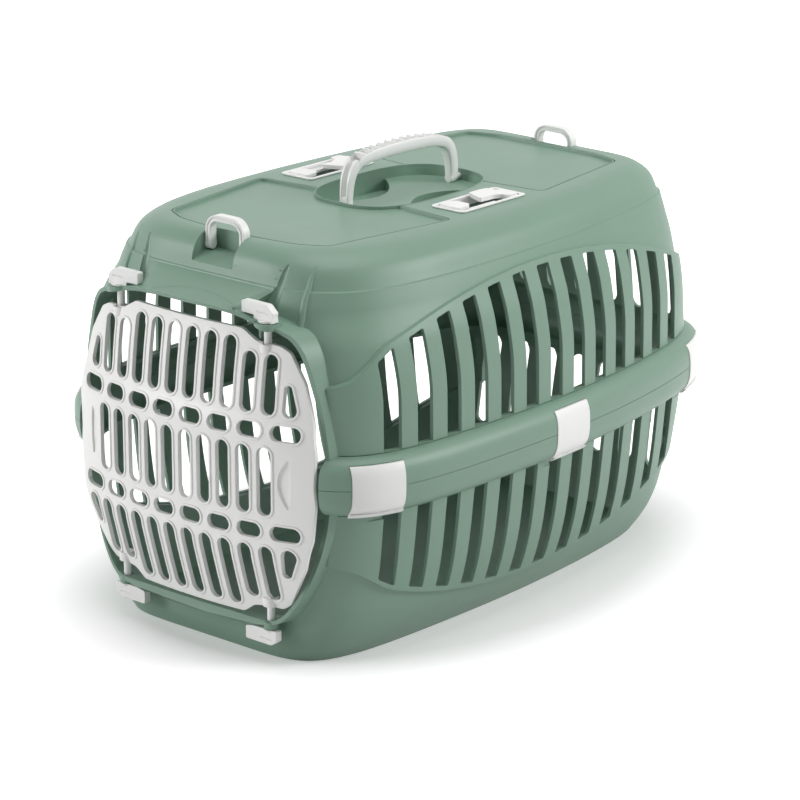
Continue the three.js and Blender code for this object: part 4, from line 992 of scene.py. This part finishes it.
# Depth, low x and high x of each cell, and of the notch through the left side of its rim
CELL_CUTS = [(6.6, -5.4, 5.5), (2.0, -9.0, 0.0)]
# The points of the path between which the outer face of each leg is a channel, the channel's floor and sides
LEG_CHANNELS, CHANNEL_FLOOR, CHANNEL_SIDES = (slice(4, 24), slice(-18, -4)), HANDLE_FOOT - 5.4, (-2.6, 2.3)
HANDLE_SECTION = [
    (-0.5, -0.1), (-0.4, -0.42), (-0.14, -0.5), (0.14, -0.5), (0.4, -0.42), (0.5, -0.1),
    (0.5, 0.3), (0.46, 0.47), (0.38, 0.5), (-0.38, 0.5), (-0.46, 0.47), (-0.5, 0.3),
]
HANDLE_PATH = [
    (0, 0), (0.004, 0.3), (0.016, 0.55), (0.045, 0.76), (0.1, 0.905), (0.19, 0.965), (0.34, 0.995),
    (0.5, 1), (0.66, 0.985), (0.8, 0.94), (0.9, 0.85), (0.955, 0.7), (0.985, 0.48), (0.997, 0.25), (1, 0),
]


def handle_path():
    """A smooth curve through the table's shares of the handle's length and rise."""
    rise = trim().handle_top - HANDLE_THICKNESS / 2 - HANDLE_AXIS
    path = np.array(HANDLE_PATH) * (HANDLE_REAR - HANDLE_FRONT, rise) + (HANDLE_FRONT, HANDLE_AXIS)
    return smoothed(path, HANDLE_STEPS, closed=False)


def handle_shape():
    """A softened section carried along the arch, with ribbed cells cut in its top and a pivot pin at each foot."""
    path = handle_path()
    heading = np.gradient(path, axis=0)
    heading /= np.linalg.norm(heading, axis=1, keepdims=True)
    normal = np.column_stack([-heading[:, 1], heading[:, 0]])
    across, deep = smoothed(HANDLE_SECTION, 4).T
    from_end = np.minimum(np.arange(len(path)), np.arange(len(path))[::-1])
    full = np.clip(from_end / LEG_POINTS, 0, 1)[:, None]
    slim = HANDLE_FOOT * 2 / HANDLE_THICKNESS
    deep = deep * HANDLE_THICKNESS * (slim + (1 - slim) * full)
    across = across * trim().handle_width * (LEG_WIDTH + (1 - LEG_WIDTH) * full)
    rings = np.concatenate([across[..., None], path[:, None] + normal[:, None] * deep[..., None]], axis=-1)
    steps = []
    pitch = (CELLS_END - CELLS_START) / HANDLE_CELLS
    for i in range(HANDLE_CELLS):
        y = CELLS_START + pitch * (i + 0.5)
        k = int(np.argmax(path[:, 0] > y))
        share = (y - path[k - 1, 0]) / (path[k, 0] - path[k - 1, 0])
        centre = path[k - 1] * (1 - share) + path[k] * share
        half = (pitch - CELL_RIB) / 2 / max(heading[k, 0], 0.75)
        for depth, low, high in CELL_CUTS:
            floor = HANDLE_THICKNESS / 2 - depth
            corners = [centre + heading[k] * a + normal[k] * b for a, b in
                       ((-half, floor), (half, floor), (half, HANDLE_THICKNESS), (-half, HANDLE_THICKNESS))]
            steps.append((CUT, along(corners, "x", low, high)))
    inner, outer = path + normal * CHANNEL_FLOOR, path + normal * HANDLE_THICKNESS
    for part in LEG_CHANNELS:
        steps.append((CUT, along(np.concatenate([inner[part], outer[part][::-1]]), "x", *CHANNEL_SIDES)))
    for y, way in ((HANDLE_FRONT, -1), (HANDLE_REAR, 1)):
        wall = RECESS_MIDDLE + way * (RECESS_HALF_LENGTH + HANDLE_PIN_LENGTH)
        start, boss_end, pin_end = (
            (0, at, HANDLE_AXIS) for at in (y - way * HANDLE_FOOT, y + way * HANDLE_FOOT, wall))
        steps += [(JOIN, rod(start, boss_end, HANDLE_FOOT, rounding=0.8)), (JOIN, rod(start, pin_end, HANDLE_PIN))]
    return carve(loft(rings), *steps)


# Strap rings

RING_RISE, RING_HALF, RING_BAR, RING_DEEP, RING_CORNER, RING_BOSS = 23.4, 19.5, 4.6, 7.0, 12.0, 3.9
RING_GROOVE, RING_GROOVE_DEPTH = (1.6, 2.8), 0.7


def ring_bow(ring_y, inset, reach):
    """The outline of the bow, moved in by the inset, carried from its middle to both sides."""
    outline = rounded_box(RING_HALF - inset, RING_RISE - inset, RING_CORNER - inset, 14) + (0, RING_AXIS)
    return along(outline, "y", ring_y - reach, ring_y + reach)


def ring_shape(ring_y):
    """A round-cornered bow with a groove round each face, open below, between two pivot bosses."""
    core = RING_DEEP / 2 - RING_GROOVE_DEPTH
    groove = carve(ring_bow(ring_y, RING_GROOVE[0], RING_DEEP), (CUT, ring_bow(ring_y, RING_GROOVE[1], RING_DEEP + 1)),
                   (CUT, block((-FAR, FAR), (ring_y - core, ring_y + core), (0, FAR))))
    keep = block((-RING_HALF, RING_HALF), (ring_y - RING_DEEP, ring_y + RING_DEEP), (RING_AXIS, FAR))
    steps = [(CUT, ring_bow(ring_y, RING_BAR, RING_DEEP)), (CUT, groove), (KEEP, keep)]
    for side in SIDES.values():
        start, boss_end, pin_end = ((side * x, ring_y, RING_AXIS) for x in
                                    (RING_HALF - RING_BAR, RING_HALF, POCKET_HALF_WIDTH + RING_PIN_LENGTH))
        steps += [(JOIN, rod(start, boss_end, RING_BOSS)), (JOIN, rod(start, pin_end, RING_PIN))]
    return carve(ring_bow(ring_y, 0, RING_DEEP / 2), *steps)


# Belt holders

HOLDER_WALL, HOLDER_PLATE, HOLDER_SKIRT = 1.8, 1.2, 6.0
# Outlines as shares of the inner half width and of the half length
FRONT_PAD = [(-0.7, -0.93), (0.75, -0.93), (0.75, -0.68), (0.5, -0.5), (-0.4, -0.5), (-0.7, -0.66)]
TONGUE = [(0.4, -0.93), (0.85, -0.93), (0.85, 0.3), (0.4, 0.3)]
REAR_PAD = [(-1.0, 0.12), (-0.3, 0.0), (0.3, -0.08), (0.35, 0.3), (0.6, 0.46), (1.04, 0.5), (1.04, 0.78),
            (-0.1, 0.78), (-0.35, 0.64), (-0.9, 0.66), (-1.0, 0.45)]


def holder_frame(side, outer, inner, low, high):
    """An open frame between two copies of the holder's outline."""
    return carve(along(holder_outline(side, -outer), "z", low, high),
                 (CUT, along(holder_outline(side, -inner), "z", low - 1, high + 1)))


def holder_shape(side):
    """A frame with a skirt in the roof, two pads on it and a tongue between them."""
    base = shell().roof_height
    top = base + HOLDER_PLATE
    inside = HOLDER_HALF_WIDTH - HOLDER_RIM - HOLDER_WALL / 2
    steps = [(JOIN, holder_frame(side, HOLDER_RIM, HOLDER_RIM + HOLDER_WALL, base - HOLDER_SKIRT, top))]
    for points, low, high in ((FRONT_PAD, top - 1, top + 1.6), (TONGUE, base - 3, base - 1),
                              (REAR_PAD, top - 1, top + 2.2)):
        outline = np.array(points) * (side * inside, HOLDER_HALF_LENGTH) + (side * HOLDER_X, HOLDER_Y)
        steps.append((JOIN, along(softened(outline, 2.2, 5), "z", low, high)))
    return carve(holder_frame(side, 0, HOLDER_RIM * 1.6, base + FIT, top), *steps)


# Materials

def linear(code):
    """Each sRGB channel c of a hex value becomes ((c + 0.055) / 1.055) to the power 2.4, or c / 12.92 near black."""
    channels = [int(code[i:i + 2], 16) / 255 for i in (0, 2, 4)]
    return np.array([c / 12.92 if c <= 0.04045 else ((c + 0.055) / 1.055) ** 2.4 for c in channels])


def node(tree, kind, inputs=None, **settings):
    """Adds a node with its settings, and gives each input a value or a link from another node's output."""
    made = tree.nodes.new(kind)
    for key, value in settings.items():
        setattr(made, key, value)
    for key, value in (inputs or {}).items():
        if isinstance(value, bpy.types.NodeSocket):
            tree.links.new(value, made.inputs[key])
        else:
            made.inputs[key].default_value = value
    return made


def fresh_tree(holder):
    """The empty node tree of a material or a world."""
    holder.use_nodes = True
    holder.node_tree.nodes.clear()
    return holder.node_tree


def moulded_polypropylene(name, code, roughness, grain):
    """Injection-moulded polypropylene. Its IOR is 1.49. The spark-eroded mould leaves a fine grain that spreads
    the gloss, pigment flow leaves faint clouds, and every edge carries a small mould radius."""
    if name in bpy.data.materials:
        return bpy.data.materials[name]
    material = bpy.data.materials.new(name)
    tree = fresh_tree(material)
    colour = linear(code)
    place = node(tree, "ShaderNodeTexCoord").outputs["Object"]
    # Pigment clouds about 60 mm across
    clouds = node(tree, "ShaderNodeTexNoise", {"Vector": place, "Scale": 16.0, "Detail": 3.0, "Roughness": 0.55})
    tone = node(tree, "ShaderNodeMix", {"Factor": clouds.outputs["Fac"], "A": (*(colour * 0.965), 1),
                                        "B": (*(colour * 1.035), 1)}, data_type="RGBA")
    # Mould grain about 0.8 mm apart, coarser than the real one so that it shows
    sparks = node(tree, "ShaderNodeTexNoise", {"Vector": place, "Scale": 1250.0, "Detail": 2.0, "Roughness": 0.6})
    # Shallow waves about 12 mm apart, from shrinkage as the wall cools
    waves = node(tree, "ShaderNodeTexNoise", {"Vector": place, "Scale": 80.0, "Detail": 1.0, "Roughness": 0.4})
    sheen = node(tree, "ShaderNodeMapRange", {"Value": clouds.outputs["Fac"], "From Min": 0.3, "From Max": 0.7,
                                              "To Min": roughness - 0.04, "To Max": roughness + 0.04})
    edge = node(tree, "ShaderNodeBevel", {"Radius": 0.0007}, samples=4)
    shrink = node(tree, "ShaderNodeBump", {"Height": waves.outputs["Fac"], "Strength": 0.25, "Distance": 0.0004,
                                           "Normal": edge.outputs["Normal"]})
    bump = node(tree, "ShaderNodeBump", {"Height": sparks.outputs["Fac"], "Strength": grain, "Distance": 0.0001,
                                         "Normal": shrink.outputs["Normal"]})
    shader = node(tree, "ShaderNodeBsdfPrincipled", {
        "Base Color": tone.outputs["Result"], "Roughness": sheen.outputs["Result"], "IOR": 1.49,
        "Normal": bump.outputs["Normal"]})
    node(tree, "ShaderNodeOutputMaterial", {"Surface": shader.outputs["BSDF"]})
    return material


def shell_plastic():
    """The material of the tub and canopy, and its slot."""
    return moulded_polypropylene("sage_moulded_polypropylene", shell().colour, 0.42, 0.8), "sage_polypropylene"


def trim_plastic():
    """The material of all other pieces, and its slot."""
    return (moulded_polypropylene("light_grey_moulded_polypropylene", trim().colour, 0.36, 0.15),
            "light_grey_polypropylene")


# Stage

def seen(tree):
    """One for the camera and in reflections, and nought for the light that falls on things."""
    paths = node(tree, "ShaderNodeLightPath")
    return node(tree, "ShaderNodeMath", {0: paths.outputs["Is Camera Ray"], 1: paths.outputs["Is Glossy Ray"]},
                operation="MAXIMUM").outputs["Value"]


def studio_floor(name, shade):
    """A pale sheet that catches the shadow. Seen by the camera or in a reflection, it gains the light that brings its
    open part to white.
    That glow is weaker in an oval round the object, which paints shade on the floor there on top of the real shadow."""
    material = bpy.data.materials.new(name)
    tree = fresh_tree(material)
    paint = node(tree, "ShaderNodeBsdfDiffuse", {"Color": (shade, shade, shade, 1)}).outputs["BSDF"]
    place = node(tree, "ShaderNodeTexCoord").outputs["Object"]
    oval = node(tree, "ShaderNodeVectorMath", {0: place, 1: (1.0, 0.72, 0.0)}, operation="MULTIPLY")
    away = node(tree, "ShaderNodeVectorMath", {0: oval.outputs["Vector"]}, operation="LENGTH")
    # Painted shade: the glow is weak in an oval round the object, so the floor there is darker and the real shadow
    # stays clear; further out the sheet is white.
    rise = node(tree, "ShaderNodeMapRange", {"Value": away.outputs["Value"], "From Min": 0.17, "From Max": 0.3,
                                             "To Min": 0.25, "To Max": 0.95})
    lift = node(tree, "ShaderNodeEmission", {"Color": (1, 1, 1, 1), "Strength": rise.outputs["Result"]})
    lit = node(tree, "ShaderNodeAddShader", {0: paint, 1: lift.outputs["Emission"]})
    mixed = node(tree, "ShaderNodeMixShader", {"Fac": seen(tree), 1: paint, 2: lit.outputs["Shader"]})
    node(tree, "ShaderNodeOutputMaterial", {"Surface": mixed.outputs["Shader"]})
    return material


def stand(name, data, place, aim):
    """Places a lamp or camera so that it looks at its aim."""
    holder = placed(name, data)
    holder.location = place
    holder.rotation_euler = (Vector(aim) - Vector(place)).to_track_quat("-Z", "Y").to_euler()
    return holder


# Name, place, height that it looks at, width in metres and power in watts
LAMPS = [
    ("top_box", (0.2, 0.0, 2.3), 0.2, 2.0, 24.5),
    ("front_box", (-2.0, -2.4, 1.0), 0.15, 1.6, 48),
    ("right_box", (2.2, 1.3, 1.5), 0.2, 1.3, 42),
]
FLOOR_REACH, FLOOR_HEIGHT, FLOOR_SHADE = 12.0, -0.0004, 0.8


# Operators

class CARRIER_OT_tub(bpy.types.Operator):
    """Build the slotted tub with its half of the rim band and of the door frame"""
    bl_idname = "carrier.tub"
    bl_label = "Tub"

    def execute(self, context):
        present("slotted_tub", tub_shape(), "tub", shell_plastic(), "bottom_tub")
        return {"FINISHED"}


class CARRIER_OT_canopy(bpy.types.Operator):
    """Build the slotted canopy with its roof panels, handle recess and ring pockets"""
    bl_idname = "carrier.canopy"
    bl_label = "Canopy"

    def execute(self, context):
        present("slotted_canopy", canopy_shape(), "canopy", shell_plastic(), "top_canopy")
        return {"FINISHED"}


class CARRIER_OT_door(bpy.types.Operator):
    """Build the domed grille door with its rimmed slots and pin sockets"""
    bl_idname = "carrier.door"
    bl_label = "Door"

    def execute(self, context):
        present("domed_grille", door_shape(), "door", trim_plastic(), "door_grille")
        return {"FINISHED"}


class CARRIER_OT_latch_pins(bpy.types.Operator):
    """Build the four latch pins with their thumb plates"""
    bl_idname = "carrier.latch_pins"
    bl_label = "Latch pins"

    def execute(self, context):
        for end in ("top", "bottom"):
            for word, side in SIDES.items():
                present(f"thumb_pin_{end}_{word}", latch_pin_shape(side, end == "top"), f"{end}_{word}_pin",
                        trim_plastic(), f"latch_pin_{end}_{word}")
        return {"FINISHED"}


class CARRIER_OT_rim_clips(bpy.types.Operator):
    """Build the six clips that hold the canopy on the tub"""
    bl_idname = "carrier.rim_clips"
    bl_label = "Rim clips"

    def execute(self, context):
        for place in CLIPS:
            for word, side in SIDES.items():
                present(f"clip_plate_{place}_{word}", clip_shape(place, side), f"{place}_{word}_clip",
                        trim_plastic(), f"rim_clip_{place}_{word}")
        return {"FINISHED"}


class CARRIER_OT_handle(bpy.types.Operator):
    """Build the arched carrying handle with its ribbed cells"""
    bl_idname = "carrier.handle"
    bl_label = "Carrying handle"

    def execute(self, context):
        present("arched_handle", handle_shape(), "handle", trim_plastic(), "carry_handle")
        return {"FINISHED"}


class CARRIER_OT_strap_rings(bpy.types.Operator):
    """Build the two strap rings on the roof"""
    bl_idname = "carrier.strap_rings"
    bl_label = "Strap rings"

    def execute(self, context):
        for place, (y, _) in RINGS.items():
            present(f"strap_bow_{place}", ring_shape(y), f"{place}_ring", trim_plastic(), f"strap_ring_{place}")
        return {"FINISHED"}


class CARRIER_OT_belt_holders(bpy.types.Operator):
    """Build the two seat-belt holders on the roof"""
    bl_idname = "carrier.belt_holders"
    bl_label = "Belt holders"

    def execute(self, context):
        for word, side in SIDES.items():
            present(f"belt_frame_{word}", holder_shape(side), "canopy", trim_plastic(),
                    f"belt_holder_{word}")
        return {"FINISHED"}


class CARRIER_OT_stage(bpy.types.Operator):
    """Set up the floor, the lamps, the white surroundings and the camera"""
    bl_idname = "carrier.stage"
    bl_label = "Stage"

    def execute(self, context):
        scene, own = context.scene, context.scene.carrier_stage
        sheet = bpy.data.meshes.new("floor")
        corners = [(x * FLOOR_REACH, y * FLOOR_REACH, FLOOR_HEIGHT) for x, y in ((-1, -1), (1, -1), (1, 1), (-1, 1))]
        sheet.from_pydata(corners, [], [(0, 1, 2, 3)])
        sheet.materials.append(studio_floor("matt_white_floor", FLOOR_SHADE))
        floor = placed("floor", sheet)
        for name, place, height, width, power in LAMPS:
            lamp = bpy.data.lights.new(name, "AREA")
            lamp.shape, lamp.size, lamp.energy = "DISK", width, power
            stand(name, lamp, place, (0, 0, height))
        world = bpy.data.worlds.new("white_surroundings")
        tree = fresh_tree(world)
        strength = node(tree, "ShaderNodeMapRange", {"Value": seen(tree), "To Min": 0.14, "To Max": 1.12})
        light = node(tree, "ShaderNodeBackground", {"Color": (1, 1, 1, 1), "Strength": strength.outputs["Result"]})
        node(tree, "ShaderNodeOutputWorld", {"Surface": light.outputs["Background"]})
        scene.world = world
        lens = bpy.data.cameras.new("camera")
        lens.sensor_width, lens.lens, lens.clip_end = 36.0, own.lens, 50.0
        scene.camera = stand("camera", lens, own.camera_place, own.camera_target)
        scene.view_settings.view_transform = "Standard"
        return {"FINISHED"}


PIECES = (CARRIER_OT_tub, CARRIER_OT_canopy, CARRIER_OT_door, CARRIER_OT_latch_pins, CARRIER_OT_rim_clips,
          CARRIER_OT_handle, CARRIER_OT_strap_rings, CARRIER_OT_belt_holders, CARRIER_OT_stage)
SETTINGS = {"carrier_shell": CarrierShellSettings, "carrier_trim": CarrierTrimSettings,
            "carrier_stage": CarrierStageSettings}


class CARRIER_PT_panel(bpy.types.Panel):
    """Lists the pieces of the carrier and their settings"""
    bl_idname = "CARRIER_PT_panel"
    bl_label = "Pet Carrier"
    bl_space_type = "VIEW_3D"
    bl_region_type = "UI"
    bl_category = "Pet Carrier"

    def draw(self, context):
        for name, group in SETTINGS.items():
            box = self.layout.box()
            for key in group.__annotations__:
                box.prop(getattr(context.scene, name), key)
        for piece in PIECES:
            self.layout.operator(piece.bl_idname)


def register():
    for name, group in SETTINGS.items():
        bpy.utils.register_class(group)
        setattr(bpy.types.Scene, name, bpy.props.PointerProperty(type=group))
    for made in (*PIECES, CARRIER_PT_panel):
        bpy.utils.register_class(made)


def unregister():
    for made in (CARRIER_PT_panel, *reversed(PIECES)):
        bpy.utils.unregister_class(made)
    for name, group in SETTINGS.items():
        delattr(bpy.types.Scene, name)
        bpy.utils.unregister_class(group)


def main():
    register()
    for piece in PIECES:
        area, name = piece.bl_idname.split(".")
        getattr(getattr(bpy.ops, area), name)()


if __name__ == "__main__":
    main()
